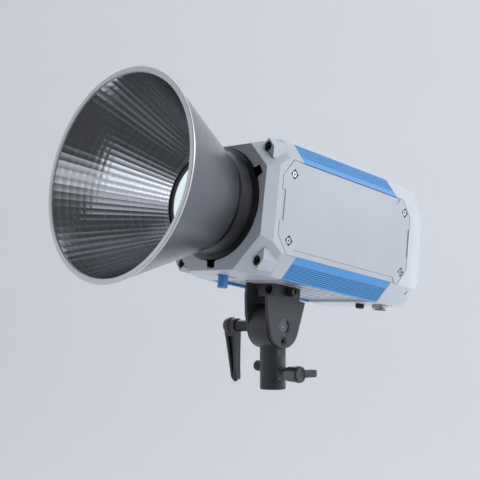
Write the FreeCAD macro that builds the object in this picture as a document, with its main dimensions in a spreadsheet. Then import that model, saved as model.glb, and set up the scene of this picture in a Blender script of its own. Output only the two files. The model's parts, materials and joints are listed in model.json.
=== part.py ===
import FreeCAD, Part
import math
import os
import re

import Sketcher

# A continuous-light monolight: an octagonal body with a bayonet front, a cone reflector, and a tilting
# stand bracket. Millimetres. The row origin is the centre of the stand socket's mouth, +Z runs up the
# socket, the light leaves towards -Y. Head parts are drawn in the head's own frame, whose origin is the
# centre of the bezel's front plane with Y running rearwards along the light axis, and are then tilted.

Vector = FreeCAD.Vector
Placement = FreeCAD.Placement
Rotation = FreeCAD.Rotation
X_DIR = Vector(1, 0, 0)
Y_DIR = Vector(0, 1, 0)

SIZES = {
    # body shell, head frame
    "body_half_width": 59.7, "body_half_height": 60.2, "flat_half": 44.5, "side_half": 41.4,
    "front_half_width": 55.5, "front_half_height": 58.5, "front_flat_half": 27.0, "front_side_half": 29.5,
    "front_top": 51.5, "front_top_flat": 33.9, "flare_depth": 12.0, "flare_top": 55.85,
    "flare_top_flat": 37.8, "flare_flat_half": 33.5, "flare_side_half": 33.6, "shoulder_depth": 24.0,
    "shoulder_flat_half": 41.8, "facet_depth": 28.0,
    "bezel_depth": 43.0, "inner_half_width": 54.5, "inner_half_height": 55.2,
    "inner_flat_half": 36.0, "inner_side_half": 31.0,
    "cavity_front_end": 16.0, "cavity_front_height": 53.0, "cavity_front_flat": 34.0,
    "channel_fill_half": 28.0, "channel_fill_low": 47.5, "channel_fill_high": 52.5,
    "opening_radius": 50.0, "flange_thickness": 5.0, "channel_radius": 55.2, "channel_end": 11.0,
    "slot_radius": 56.4, "slot_half_width": 4.7, "slot_mouth_half_width": 6.1, "slot_twist": 20.0,
    "corner_screw_side": 46.2, "corner_screw_height": 49.4, "corner_bore": 4.5, "corner_bore_floor": 13.2,
    "corner_hole": 2.2, "corner_head": 4.0, "corner_head_length": 3.0, "corner_shank": 1.85,
    "corner_shank_length": 42.0, "corner_port_bore": 1.9, "corner_port_radius": 3.7,
    "boss_side": 54.0, "boss_low": 39.0, "boss_high": 48.4, "boss_top_side": 46.95, "boss_top": 57.05,
    "boss_inner_side": 41.5, "boss_inner": 51.0, "boss_front": 8.0, "boss_rear": 27.0,
    "rear_boss_start": 206.0, "rear_boss_end": 221.0,
    # rear housing
    "housing_start": 181.0, "housing_facet": 212.0, "housing_end": 229.0, "housing_inner_end": 225.0,
    "rear_bore_floor": 216.0,
    "housing_step": 216.0, "ledge_end": 233.5, "ledge_half_width": 55.0, "ledge_top": 10.0,
    "ledge_bottom": 41.0, "ledge_chamfer": 5.0, "rear_flat_low": 42.0, "rear_height_low": 57.0,
    "rear_side_low": 40.0, "inlet_side": 33.0, "inlet_back": 203.0, "port_side": 16.0, "port_back": 192.8,
    # side panels
    "panel_front": 17.4, "panel_rear": 203.8, "panel_bevel_front": 29.3, "panel_bevel_rear": 190.7,
    "panel_half": 41.1, "panel_end_half": 25.8, "panel_thickness": 2.5, "panel_gap": 0.6,
    "panel_seat": 56.8, "panel_screw_front": 31.3, "panel_screw_rear": 195.2, "panel_screw_half": 29.0,
    "diamond_half": 4.9, "diamond_depth": 1.8, "band_depth": 0.7, "band_low": 35.8, "band_front": 35.0,
    "band_rear": 187.0, "notch_half": 13.5, "notch_width": 4.6, "notch_depth": 0.9,
    "panel_screw_shank": 1.6, "panel_screw_hole": 1.7, "panel_screw_head": 2.5, "panel_screw_end": 50.0,
    # corner rails
    "rail_front": 43.2, "rail_rear": 180.8, "rail_leg_outer": 40.5, "rail_leg_inner": 42.3,
    "rail_leg_end": 51.8, "rail_web_top": 58.2, "rail_web_side": 55.9, "groove_plain": 8.0,
    "groove_pitch": 1.95, "groove_width": 0.7, "groove_depth": 0.7, "groove_count": 8,
    # grilles and tray
    "grille_half": 40.2, "grille_low": 56.2, "grille_high": 57.6, "grille_front": 43.4,
    "grille_rear": 180.6, "tray_half": 38.0, "tray_low": 51.4, "tray_high": 49.4,
    "tray_front": 54.0, "tray_rear": 178.0, "post_height": 6.0, "board_thickness": 1.6,
    # bayonet, lock
    "bayonet_plate_end": 14.0, "bayonet_plate_bore": 42.5, "pin_height": 51.5, "pin_radius": 1.8,
    "pin_front": 4.0, "pin_rear": 43.0, "stem_radius": 2.6, "stem_position": 17.0, "knob_radius": 4.55,
    "knob_top": 60.4, "knob_bottom": 71.5, "lock_slot_front": 10.5, "lock_slot_rear": 32.4,
    "lock_slot_half": 2.9, "tab_front": 38.0, "tab_rear": 41.0,
    # light engine
    "retainer_radius": 40.0, "retainer_inner": 38.0, "retainer_front": -17.0, "retainer_flange": 46.0,
    "glass_thickness": 3.0, "base_front": 19.0, "base_thickness": 8.0, "base_half_width": 54.2, "base_half_height": 40.0,
    "base_flat_half": 46.5, "base_side_half": 29.0,
    "emitter_radius": 14.0, "substrate_half": 20.0, "pipe_radius": 3.0, "pipe_hole": 3.05,
    "pipe_front": 21.0, "pipe_rear": 112.0, "pipe_side": 24.0, "pipe_height": 14.0,
    "fin_half": 44.0, "fin_bottom": 40.0, "fin_top": 36.0, "fin_front": 32.0, "fin_pitch": 3.25,
    "fin_thickness": 0.8, "fin_count": 24,
    "fan_half": 40.0, "fan_low": 37.0, "fan_high": 51.5, "fan_centre": 84.5, "fan_bore": 38.0,
    "fan_hub": 14.0, "blade_tip": 36.5, "blade_chord": 12.0, "blade_thickness": 1.5, "blade_count": 7,
    # controls
    "control_half": 36.0, "control_low": 13.0, "control_high": 46.0, "control_front": 225.6,
    "control_rear": 228.3, "control_knob_side": 25.5, "control_knob_height": 31.0,
    "control_knob_radius": 7.0, "button_radius": 2.6, "button_height": 19.0, "button_pitch": 14.0,
    "switch_side": 30.0, "switch_height": 14.0,
    # bracket: the pivot seen from the head frame, and the yoke around it
    "pivot_back": 86.9, "pivot_drop": 96.1, "pivot_height": 57.0, "rest_tilt": 8.3,
    "pad_half": 14.4, "pad_front": 60.3, "pad_rear": 106.0, "pad_bottom": 59.0, "pad_corner": 4.0,
    "ear_outer": 14.4, "ear_inner": 11.2, "ear_radius": 19.7, "ear_shoulder": 25.2, "ear_top": 37.0,
    "ear_front": 26.6, "ear_rear": 25.7, "neck_half": 17.5, "bridge_bottom": 31.0,
    "block_left": 7.4, "umbrella_side": 6.6, "umbrella_height": 31.8, "umbrella_radius": 4.2,
    "axle_radius": 6.0, "axle_head": 7.7, "running_gap": 0.05, "stud_radius": 4.0,
    "tension_drop": 13.3, "tension_radius": 3.9,
    # stand socket
    "socket_radius": 11.9, "spigot_radius": 8.05, "spigot_depth": 44.0, "knuckle_radius": 20.5,
    "knuckle_half": 10.8, "ear_sweep": 26.5, "clamp_height": 14.6, "clamp_stud": 4.5, "clamp_boss": 6.5,
    "clamp_boss_end": 13.2, "plug_height": 20.5, "wing_reach": 24.5, "wing_half": 3.3,
    # lever
    "lever_hub_start": 43.6, "lever_hub_end": 61.0, "lever_hub": 7.8, "lever_neck": 6.8, "lever_reach": 52.5,
    # reflector
    "mouth_radius": 88.4, "mouth_depth": 113.0, "lip_inner": 84.6, "lip_outer": 88.9,
    "shell_thickness": 1.1, "liner_mouth": 84.4, "liner_thickness": 0.6, "throat_radius": 40.8,
    "throat_depth": 18.4, "cone_start_radius": 44.4, "ring_radius": 49.4, "ring_inner": 41.4,
    "lug_radius": 54.5, "lug_front": 5.7, "lug_rear": 8.7, "lug_half_width": 4.0,
}

DOC = FreeCAD.newDocument("Monolight")
SHEET = DOC.addObject("Spreadsheet::Sheet", "Sizes")
for row, (alias, value) in enumerate(SIZES.items(), start=1):
    SHEET.set("A%d" % row, alias)
    SHEET.set("B%d" % row, str(value))
    SHEET.setAlias("B%d" % row, alias)
DOC.recompute()

NODES = {}


def size(alias):
    """The sheet's value of one alias."""
    return float(SHEET.get(alias))


def formula(text):
    """An expression in which every word of the sheet is looked up there."""
    def lookup(match):
        word = match.group(0)
        return "Sizes." + word if word in SIZES else word
    return re.sub(r"[a-z_]+", lookup, str(text))


# ---------------------------------------------------------------- frames
WORLD = Placement()
TILT = Rotation(X_DIR, -size("rest_tilt"))
PIVOT = Vector(0, 0, size("pivot_height"))
PIVOT_IN_HEAD = Vector(0, size("pivot_back"), -size("pivot_drop"))
HEAD = Placement(PIVOT - TILT.multVec(PIVOT_IN_HEAD), TILT)
YOKE = Placement(PIVOT, TILT)
LEVER = Placement(PIVOT, Rotation())
CLAMP = Placement(Vector(0, 0, size("clamp_height")), Rotation())


def node(shape_object, name, frame):
    """Name a finished sub-part and put it in its frame."""
    shape_object.Label = name
    shape_object.Placement = frame
    NODES[name] = shape_object
    return shape_object


# ---------------------------------------------------------------- PartDesign helpers
def new_body(name):
    return DOC.addObject("PartDesign::Body", name)


def origin_feature(body, role):
    return [feature for feature in body.Origin.OriginFeatures if feature.Role == role][0]


# for each axis: the origin plane across it, the sign of that plane's normal, and the sketch's own x, y
PLANES = {"X": ("YZ_Plane", 1), "Y": ("XZ_Plane", -1), "Z": ("XY_Plane", 1)}


def constrain(sketch, kind, geometry, point, start, target):
    """Tie one point of a sketch to the origin by a formula."""
    index = sketch.addConstraint(Sketcher.Constraint(kind, -1, 1, geometry, point, start))
    sketch.setExpression("Constraints[%d]" % index, formula(target))


def new_sketch(body, role, offset, spin=0):
    """An empty sketch on an origin plane, shifted by three formulas along the plane's own axes."""
    sketch = body.newObject("Sketcher::SketchObject", body.Label + "_sketch")
    sketch.AttachmentSupport = [(origin_feature(body, role), "")]
    sketch.MapMode = "FlatFace"
    sketch.AttachmentOffset = Placement(Vector(), Rotation(Vector(0, 0, 1), spin))
    for letter, shift in zip("xyz", offset):
        sketch.setExpression("AttachmentOffset.Base." + letter, formula(shift))
    return sketch


def draw_polygon(sketch, points):
    """A closed outline whose corners are formulas."""
    count = len(points)
    first = sketch.GeometryCount
    start = []
    for index in range(count):
        angle = 2 * math.pi * index / count
        start.append(Vector(10 * math.cos(angle), 10 * math.sin(angle), 0))
    sides = [Part.LineSegment(start[i], start[(i + 1) % count]) for i in range(count)]
    sketch.addGeometry(sides, False)
    joins = []
    for index in range(count):
        following = first + (index + 1) % count
        joins.append(Sketcher.Constraint("Coincident", first + index, 2, following, 1))
    sketch.addConstraint(joins)
    for index, (across, up) in enumerate(points):
        constrain(sketch, "DistanceX", first + index, 1, start[index].x, across)
        constrain(sketch, "DistanceY", first + index, 1, start[index].y, up)


def draw_circle(sketch, centre, radius):
    geometry = sketch.addGeometry(Part.Circle(Vector(1, 1, 0), Vector(0, 0, 1), 2), False)
    constrain(sketch, "DistanceX", geometry, 3, 1, centre[0])
    constrain(sketch, "DistanceY", geometry, 3, 1, centre[1])
    index = sketch.addConstraint(Sketcher.Constraint("Radius", geometry, 2))
    sketch.setExpression("Constraints[%d]" % index, formula(radius))


def across_sketch(body, axis, start, polygons, circles, spin=0):
    """A sketch at a distance along an axis. X axis: (y, z) points, Y axis: (x, z), Z axis: (x, y)."""
    role, sign = PLANES[axis]
    shift = start if sign > 0 else "-(%s)" % start
    sketch = new_sketch(body, role, ("0", "0", shift), spin)
    for polygon in polygons:
        draw_polygon(sketch, polygon)
    for centre, radius in circles:
        draw_circle(sketch, centre, radius)
    return sketch


def pad(body, axis, start, length, polygons=(), circles=(), spin=0):
    """Material from start, running length along +axis."""
    sketch = across_sketch(body, axis, start, polygons, circles, spin)
    feature = body.newObject("PartDesign::Pad", body.Label + "_pad")
    feature.Profile = sketch
    feature.setExpression("Length", formula(length))
    feature.Reversed = PLANES[axis][1] < 0
    return feature


def pocket(body, axis, start, length, polygons=(), circles=(), spin=0):
    """A cut from start, running length along +axis."""
    sketch = across_sketch(body, axis, start, polygons, circles, spin)
    feature = body.newObject("PartDesign::Pocket", body.Label + "_pocket")
    feature.Profile = sketch
    feature.setExpression("Length", formula(length))
    feature.Reversed = PLANES[axis][1] > 0
    return feature


def loft(body, axis, sections):
    """Straight-sided material through (position, outline) sections along an axis."""
    sketches = [across_sketch(body, axis, start, [outline], ()) for start, outline in sections]
    feature = body.newObject("PartDesign::AdditiveLoft", body.Label + "_loft")
    feature.Profile = sketches[0]
    feature.Sections = sketches[1:]
    feature.Ruled = True
    return feature


def turn(body, axis, profile, centre=("0", "0", "0"), circle=None):
    """A turned solid. Y and Z axes: (radius, along) points; X axis: (along, radius) points."""
    if axis == "Z":
        offset = (centre[0], centre[2], "-(%s)" % centre[1])
        sketch = new_sketch(body, "XZ_Plane", offset)
    else:
        sketch = new_sketch(body, "XY_Plane", centre)
    if circle:
        draw_circle(sketch, circle[0], circle[1])
    else:
        draw_polygon(sketch, profile)
    feature = body.newObject("PartDesign::Revolution", body.Label + "_turn")
    feature.Profile = sketch
    feature.ReferenceAxis = (sketch, ["H_Axis" if axis == "X" else "V_Axis"])
    feature.Angle = 360
    return feature


def polar(body, feature, axis, count):
    """Repeat a feature around an origin axis."""
    pattern = body.newObject("PartDesign::PolarPattern", body.Label + "_polar")
    pattern.Originals = [feature]
    pattern.Axis = (origin_feature(body, axis + "_Axis"), [""])
    pattern.Angle = 360
    pattern.Occurrences = count
    body.Tip = pattern
    return pattern


def linear(body, feature, axis, length, count):
    """Repeat a feature along an origin axis over a whole length."""
    pattern = body.newObject("PartDesign::LinearPattern", body.Label + "_linear")
    pattern.Originals = [feature]
    pattern.Direction = (origin_feature(body, axis + "_Axis"), [""])
    pattern.setExpression("Length", formula(length))
    pattern.Occurrences = count
    body.Tip = pattern
    return pattern


def round_edges(body, radius, wanted):
    """Fillet the edges of the tip that the test wants."""
    DOC.recompute()
    base = body.Tip
    names = ["Edge%d" % (i + 1) for i, edge in enumerate(base.Shape.Edges) if wanted(edge)]
    feature = body.newObject("PartDesign::Fillet", body.Label + "_round")
    feature.Base = (base, names)
    feature.setExpression("Radius", formula(radius))
    return feature


def lies_along(edge, axis):
    """True for a straight edge parallel to an axis vector."""
    if len(edge.Vertexes) != 2 or edge.Curve.TypeId != "Part::GeomLine":
        return False
    direction = edge.Vertexes[1].Point - edge.Vertexes[0].Point
    return direction.cross(axis).Length < 1e-6


def rectangle(low_a, high_a, low_b, high_b):
    return [(low_a, low_b), (high_a, low_b), (high_a, high_b), (low_a, high_b)]


def octagon(half_width, half_height, flat, side):
    """The body's cross-section: flats above and below, sides, and four chamfers."""
    return [("-" + flat, "-" + half_height), (flat, "-" + half_height), (half_width, "-" + side),
            (half_width, side), (flat, half_height), ("-" + flat, half_height),
            ("-" + half_width, side), ("-" + half_width, "-" + side)]


def regular(count, radius, turn_angle=0):
    points = []
    for index in range(count):
        angle = turn_angle + 360.0 * index / count
        points.append(("%s*cos(%g)" % (radius, angle), "%s*sin(%g)" % (radius, angle)))
    return points


# ---------------------------------------------------------------- Part helpers
TURNS = {"X": Rotation(Y_DIR, 90), "Y": Rotation(X_DIR, -90), "Z": Rotation()}


def place_by(shape_object, corner):
    for letter, shift in zip("xyz", corner):
        shape_object.setExpression(".Placement.Base." + letter, formula(shift))
    return shape_object


def box(low, high):
    """A block between two corners given as formulas."""
    block = DOC.addObject("Part::Box", "block")
    for prop, first, last in zip(("Length", "Width", "Height"), low, high):
        block.setExpression(prop, formula("(%s)-(%s)" % (last, first)))
    return place_by(block, low)


def rod(axis, start, radius, length):
    """A cylinder from a start point along an axis."""
    cylinder = DOC.addObject("Part::Cylinder", "rod")
    cylinder.setExpression("Radius", formula(radius))
    cylinder.setExpression("Height", formula(length))
    cylinder.Placement = Placement(Vector(), TURNS[axis])
    return place_by(cylinder, start)


def prism(axis, start, radius, length):
    """A hexagonal prism from a start point along an axis."""
    hexagon = DOC.addObject("Part::Prism", "hexagon")
    hexagon.Polygon = 6
    hexagon.setExpression("Circumradius", formula(radius))
    hexagon.setExpression("Height", formula(length))
    hexagon.Placement = Placement(Vector(), TURNS[axis])
    return place_by(hexagon, start)


def fuse(shapes):
    union = DOC.addObject("Part::MultiFuse", "union")
    union.Shapes = shapes
    return union


def cut(base, tool):
    result = DOC.addObject("Part::Cut", "cut")
    result.Base = base
    result.Tool = tool
    return result


def coil(name, frame, axis, start, length, radius, wire, turns):
    """A compression spring, wound by a helix; its sizes are the sheet's words or numbers."""
    helix = Part.makeHelix(length / turns, length, radius)
    circle = Part.Wire(Part.makeCircle(wire, Vector(radius, 0, 0), Y_DIR))
    spring = Part.Wire(helix).makePipeShell([circle], True, True)
    feature = DOC.addObject("Part::Feature", name)
    feature.Shape = spring
    return node(feature, name, frame.multiply(Placement(start, TURNS[axis])))


# ---------------------------------------------------------------- shell of the head
def corner_points():
    return [(side, up) for side in (1, -1) for up in (1, -1)]


def corner_centres():
    return [("%d*corner_screw_side" % side, "%d*corner_screw_height" % up) for side, up in corner_points()]


def corner_bosses(body, start, length):
    """Flat-faced bosses that stand out of the four corner facets around the corner screws."""
    corners = (("boss_side", "boss_low"), ("boss_side", "boss_high"), ("boss_top_side", "boss_top"),
               ("boss_inner_side", "boss_inner"))
    outlines = []
    for side, up in corner_points():
        outlines.append([("%d*%s" % (side, across), "%d*%s" % (up, high)) for across, high in corners])
    pad(body, "Y", start, length, outlines)


def panel_seats(body, outline):
    """Shallow seats for the side panels, on both sides."""
    pocket(body, "X", "panel_seat", "body_half_width+1-panel_seat", [outline])
    pocket(body, "X", "-body_half_width-1", "body_half_width+1-panel_seat", [outline])


def panel_screw_holes(body, position):
    circles = [((position, "panel_screw_half"), "panel_screw_hole"),
               ((position, "-panel_screw_half"), "panel_screw_hole")]
    pocket(body, "X", "-body_half_width", "2*body_half_width", (), circles)


def bezel_section(top, top_flat, side_width, side_high, side_low, bottom, bottom_flat):
    """A cross-section of the bezel, whose top and bottom differ near the front."""
    return [("-" + bottom_flat, "-" + bottom), (bottom_flat, "-" + bottom), (side_width, "-" + side_low),
            (side_width, side_high), (top_flat, top), ("-" + top_flat, top),
            ("-" + side_width, side_high), ("-" + side_width, "-" + side_low)]


def front_bezel():
    body = new_body("front_bezel")
    loft(body, "Y", [
        ("0", bezel_section("front_top", "front_top_flat", "front_half_width", "front_side_half",
                            "front_side_half", "front_half_height", "front_flat_half")),
        ("flare_depth", bezel_section("flare_top", "flare_top_flat", "body_half_width", "flare_side_half",
                                      "flare_side_half", "body_half_height", "flare_flat_half")),
        ("shoulder_depth", octagon("body_half_width", "body_half_height", "shoulder_flat_half",
                                   "side_half")),
        ("facet_depth", octagon("body_half_width", "body_half_height", "flat_half", "side_half"))])
    pad(body, "Y", "facet_depth", "bezel_depth-facet_depth",
        [octagon("body_half_width", "body_half_height", "flat_half", "side_half")])
    corner_bosses(body, "boss_front", "boss_rear-boss_front")
    pocket(body, "Y", "cavity_front_end", "bezel_depth",
           [octagon("inner_half_width", "inner_half_height", "inner_flat_half", "inner_side_half")])
    pocket(body, "Y", "channel_end", "cavity_front_end-channel_end+1",
           [octagon("inner_half_width", "cavity_front_height", "cavity_front_flat", "inner_side_half")])
    pocket(body, "Y", "flange_thickness", "channel_end+1-flange_thickness", (),
           [(("0", "0"), "channel_radius")])
    # the channel of the bayonet stops short of the low top edge
    pad(body, "Y", "flange_thickness", "channel_end-flange_thickness",
        [rectangle("-channel_fill_half", "channel_fill_half", "channel_fill_low", "channel_fill_high")])
    pocket(body, "Y", "flange_thickness-1", "channel_end+2-flange_thickness", (),
           [(("0", "0"), "opening_radius+0.3")])
    pocket(body, "Y", "-1", "flange_thickness+2", (), [(("0", "0"), "opening_radius")])
    slot = pocket(body, "Y", "-1", "flange_thickness+2", [[
        ("-slot_mouth_half_width", "-opening_radius+1"), ("-slot_half_width", "-opening_radius-1.6"),
        ("-slot_half_width", "-slot_radius+0.6"), ("-slot_half_width+0.7", "-slot_radius"),
        ("slot_half_width-0.7", "-slot_radius"), ("slot_half_width", "-slot_radius+0.6"),
        ("slot_half_width", "-opening_radius-1.6"), ("slot_mouth_half_width", "-opening_radius+1")]])
    polar(body, slot, "Y", 3)
    # counterbores and clearance holes of the corner screws
    pocket(body, "Y", "-1", "corner_bore_floor+1", (),
           [(centre, "corner_bore") for centre in corner_centres()])
    pocket(body, "Y", "0", "bezel_depth+1", (),
           [(centre, "corner_hole") for centre in corner_centres()])
    seat = [("panel_front-panel_gap", "-panel_end_half"), ("panel_bevel_front-panel_gap", "-side_half"),
            ("bezel_depth+1", "-side_half"), ("bezel_depth+1", "side_half"),
            ("panel_bevel_front-panel_gap", "side_half"), ("panel_front-panel_gap", "panel_end_half")]
    panel_seats(body, seat)
    panel_screw_holes(body, "panel_screw_front")
    # slot of the release knob, and the tab that guides the lock pin
    pocket(body, "Z", "-body_half_height-1", "body_half_height-cavity_front_height+2",
           [rectangle("-lock_slot_half", "lock_slot_half", "lock_slot_front", "lock_slot_rear")])
    pad(body, "Y", "tab_front", "tab_rear-tab_front",
        [rectangle("-5", "5", "-inner_half_height-0.5", "-pin_height+4.5")])
    pocket(body, "Y", "tab_front-1", "6", (), [(("0", "-pin_height"), "pin_radius+0.1")])
    node(body, "front_bezel", HEAD)


def rear_housing():
    body = new_body("rear_housing")
    pad(body, "Y", "housing_start", "housing_facet-housing_start",
        [octagon("body_half_width", "body_half_height", "flat_half", "side_half")])
    rear = [("-rear_flat_low", "-rear_height_low"), ("rear_flat_low", "-rear_height_low"),
            ("front_half_width", "-rear_side_low"), ("front_half_width", "front_side_half"),
            ("front_flat_half", "front_half_height"), ("-front_flat_half", "front_half_height"),
            ("-front_half_width", "front_side_half"), ("-front_half_width", "-rear_side_low")]
    loft(body, "Y", [
        ("housing_facet", octagon("body_half_width", "body_half_height", "flat_half", "side_half")),
        ("housing_end", rear)])
    corner_bosses(body, "rear_boss_start", "rear_boss_end-rear_boss_start")
    ledge = [("-ledge_half_width+ledge_chamfer", "-ledge_bottom"),
             ("ledge_half_width-ledge_chamfer", "-ledge_bottom"),
             ("ledge_half_width", "-ledge_bottom+ledge_chamfer"),
             ("ledge_half_width", "ledge_top-ledge_chamfer"),
             ("ledge_half_width-ledge_chamfer", "ledge_top"),
             ("-ledge_half_width+ledge_chamfer", "ledge_top"),
             ("-ledge_half_width", "ledge_top-ledge_chamfer"),
             ("-ledge_half_width", "-ledge_bottom+ledge_chamfer")]
    pad(body, "Y", "housing_end-2", "ledge_end-housing_end+2", [ledge])
    pocket(body, "Y", "housing_start-1", "housing_step-housing_start+1",
           [octagon("inner_half_width", "inner_half_height", "inner_flat_half", "inner_side_half")])
    pocket(body, "Y", "housing_start", "housing_inner_end-housing_start",
           [[("-28", "-50"), ("28", "-50"), ("50", "-24"), ("50", "24"), ("28", "50"), ("-28", "50"),
             ("-50", "24"), ("-50", "-24")]])
    pocket(body, "Y", "housing_inner_end-1", "10",
           [rectangle("-control_half", "control_half", "control_low", "control_high"),
            rectangle("-switch_side-10", "-switch_side+10", "-switch_height-6.5", "-switch_height+6.5")])
    pocket(body, "Y", "rear_bore_floor", "30", (),
           [(centre, "corner_bore") for centre in corner_centres()])
    pocket(body, "Y", "housing_start-1", "60", (),
           [(centre, "corner_hole") for centre in corner_centres()])
    seat = [("housing_start-1", "-side_half"), ("panel_bevel_rear+panel_gap", "-side_half"),
            ("panel_rear+panel_gap", "-panel_end_half"), ("panel_rear+panel_gap", "panel_end_half"),
            ("panel_bevel_rear+panel_gap", "side_half"), ("housing_start-1", "side_half")]
    panel_seats(body, seat)
    panel_screw_holes(body, "panel_screw_rear")
    pocket(body, "Z", "-body_half_height-1", "20", (),
           [(("inlet_side", "inlet_back"), "8.1"), (("port_side", "port_back"), "4.35")])
    node(body, "rear_housing", HEAD)


def corner_rail(name, side, up):
    """A corner extrusion: a chamfer wall with fine lengthwise grooves, a screw port and a grille leg."""
    def mirror(points):
        return [("%d*(%s)" % (side, across), "%d*(%s)" % (up, high)) for across, high in points]

    # steps along the outer chamfer, from its side edge to its flat edge
    run = math.hypot(size("body_half_width") - size("flat_half"), size("body_half_height") - size("side_half"))
    along = ("(flat_half-body_half_width)/%g" % run, "(body_half_height-side_half)/%g" % run)
    inward = ("(side_half-body_half_height)/%g" % run, "(flat_half-body_half_width)/%g" % run)

    def on_chamfer(distance, depth):
        across = "body_half_width+(%s)*%s+(%s)*%s" % (distance, along[0], depth, inward[0])
        high = "side_half+(%s)*%s+(%s)*%s" % (distance, along[1], depth, inward[1])
        return (across, high)

    outline = [("body_half_width", "side_half")]
    for index in range(int(size("groove_count"))):
        start = "groove_plain+%d*groove_pitch" % index
        outline += [on_chamfer(start, "0"), on_chamfer(start + "+0.1", "groove_depth"),
                    on_chamfer(start + "+groove_width-0.1", "groove_depth"),
                    on_chamfer(start + "+groove_width", "0")]
    outline += [("flat_half", "body_half_height"), ("rail_leg_outer", "body_half_height"),
                ("rail_leg_outer", "rail_leg_end"), ("rail_leg_inner", "rail_leg_end"),
                ("rail_leg_inner", "rail_web_top"), ("rail_web_side", "side_half")]
    body = new_body(name)
    pad(body, "Y", "rail_front", "rail_rear-rail_front", [mirror(outline)])
    port = mirror([("corner_screw_side", "corner_screw_height")])[0]
    pad(body, "Y", "rail_front", "rail_rear-rail_front", (), [(port, "corner_port_radius")])
    pocket(body, "Y", "rail_front-1", "rail_rear-rail_front+2", (), [(port, "corner_port_bore")])
    node(body, name, HEAD)


def corner_screws():
    """Eight socket-head screws: four through the bezel, four through the rear housing."""
    screws = []
    for across, high in corner_centres():
        for floor, outward in (("corner_bore_floor", -1), ("rear_bore_floor", 1)):
            head_start = "%s-corner_head_length" % floor if outward < 0 else floor
            shank_start = floor if outward < 0 else "%s-corner_shank_length" % floor
            socket_start = head_start + "-1" if outward < 0 else "%s+corner_head_length-2" % floor
            head = rod("Y", (across, head_start, high), "corner_head", "corner_head_length")
            shank = rod("Y", (across, shank_start, high), "corner_shank", "corner_shank_length")
            socket = prism("Y", (across, socket_start, high), "2.3", "3")
            screws.append(cut(fuse([head, shank]), socket))
    node(fuse(screws), "corner_screws", HEAD)


def side_panel(name, side):
    """An octagonal cover plate with long stepped bands, end notches and diamond screw recesses."""
    body = new_body(name)
    inner = "body_half_width-panel_thickness" if side > 0 else "-body_half_width"
    pad(body, "X", inner, "panel_thickness", [[
        ("panel_front", "-panel_end_half"), ("panel_bevel_front", "-panel_half"),
        ("panel_bevel_rear", "-panel_half"), ("panel_rear", "-panel_end_half"),
        ("panel_rear", "panel_end_half"), ("panel_bevel_rear", "panel_half"),
        ("panel_bevel_front", "panel_half"), ("panel_front", "panel_end_half")]])

    def face_cut(depth, polygons=(), circles=()):
        begin = "body_half_width-%s" % depth if side > 0 else "-body_half_width-1"
        pocket(body, "X", begin, "1+%s" % depth, polygons, circles)

    bands = []
    for up in (1, -1):
        bands.append([("band_front", "%d*(panel_half+1)" % up), ("band_front+4", "%d*band_low" % up),
                      ("band_rear-4", "%d*band_low" % up), ("band_rear", "%d*(panel_half+1)" % up)])
    face_cut("band_depth", bands)
    face_cut("notch_depth", [
        rectangle("panel_front-1", "panel_front+notch_width", "-notch_half", "notch_half"),
        rectangle("panel_rear-notch_width", "panel_rear+1", "-notch_half", "notch_half")])
    diamonds = []
    holes = []
    for along in ("panel_screw_front", "panel_screw_rear"):
        for up in (1, -1):
            high = "%d*panel_screw_half" % up
            diamonds.append([(along + "-diamond_half", high), (along, high + "-diamond_half"),
                             (along + "+diamond_half", high), (along, high + "+diamond_half")])
            holes.append(((along, high), "panel_screw_hole"))
    face_cut("diamond_depth", diamonds)
    face_cut("(panel_thickness+1)", (), holes)
    node(body, name, HEAD)


def side_panel_screws():
    screws = []
    for side in (1, -1):
        for along in ("panel_screw_front", "panel_screw_rear"):
            for up in (1, -1):
                high = "%d*panel_screw_half" % up
                floor = "body_half_width-diamond_depth"
                if side > 0:
                    head = rod("X", (floor, along, high), "panel_screw_head", "1.5")
                    shank = rod("X", ("panel_screw_end", along, high), "panel_screw_shank",
                                floor + "-panel_screw_end")
                    socket = prism("X", (floor + "+0.6", along, high), "1.3", "2")
                else:
                    head = rod("X", ("-(%s)-1.5" % floor, along, high), "panel_screw_head", "1.5")
                    shank = rod("X", ("-(%s)" % floor, along, high), "panel_screw_shank",
                                floor + "-panel_screw_end")
                    socket = prism("X", ("-(%s)-2.6" % floor, along, high), "1.3", "2")
                screws.append(cut(fuse([head, shank]), socket))
    node(fuse(screws), "side_panel_screws", HEAD)


def grille(name, up):
    """A vent plate with slanted slots; the lower one leaves room for the mounting pad."""
    body = new_body(name)
    low = "grille_low" if up > 0 else "-grille_high"
    pad(body, "Z", low, "grille_high-grille_low",
        [rectangle("-grille_half", "grille_half", "grille_front", "grille_rear")])
    slots = []
    for column in range(-2, 3):
        middle = "%d*14" % column
        slots.append([(middle + "-6.3", "grille_front+5"), (middle + "-2.3", "grille_front+5"),
                      (middle + "+6.3", "grille_front+14"), (middle + "+2.3", "grille_front+14")])
    first = pocket(body, "Z", low + "-1", "5", slots)
    linear(body, first, "Y", "grille_rear-grille_front-20", 11)
    if up < 0:
        pocket(body, "Z", low + "-1", "5",
               [rectangle("-pad_half-0.6", "pad_half+0.6", "pad_front-0.6", "pad_rear+0.6")])
    node(body, name, HEAD)


# ---------------------------------------------------------------- inside the head
BRACKET_SCREWS = ("-12", "0", "12")
BRACKET_SCREW_SIDE = "-3"


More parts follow.
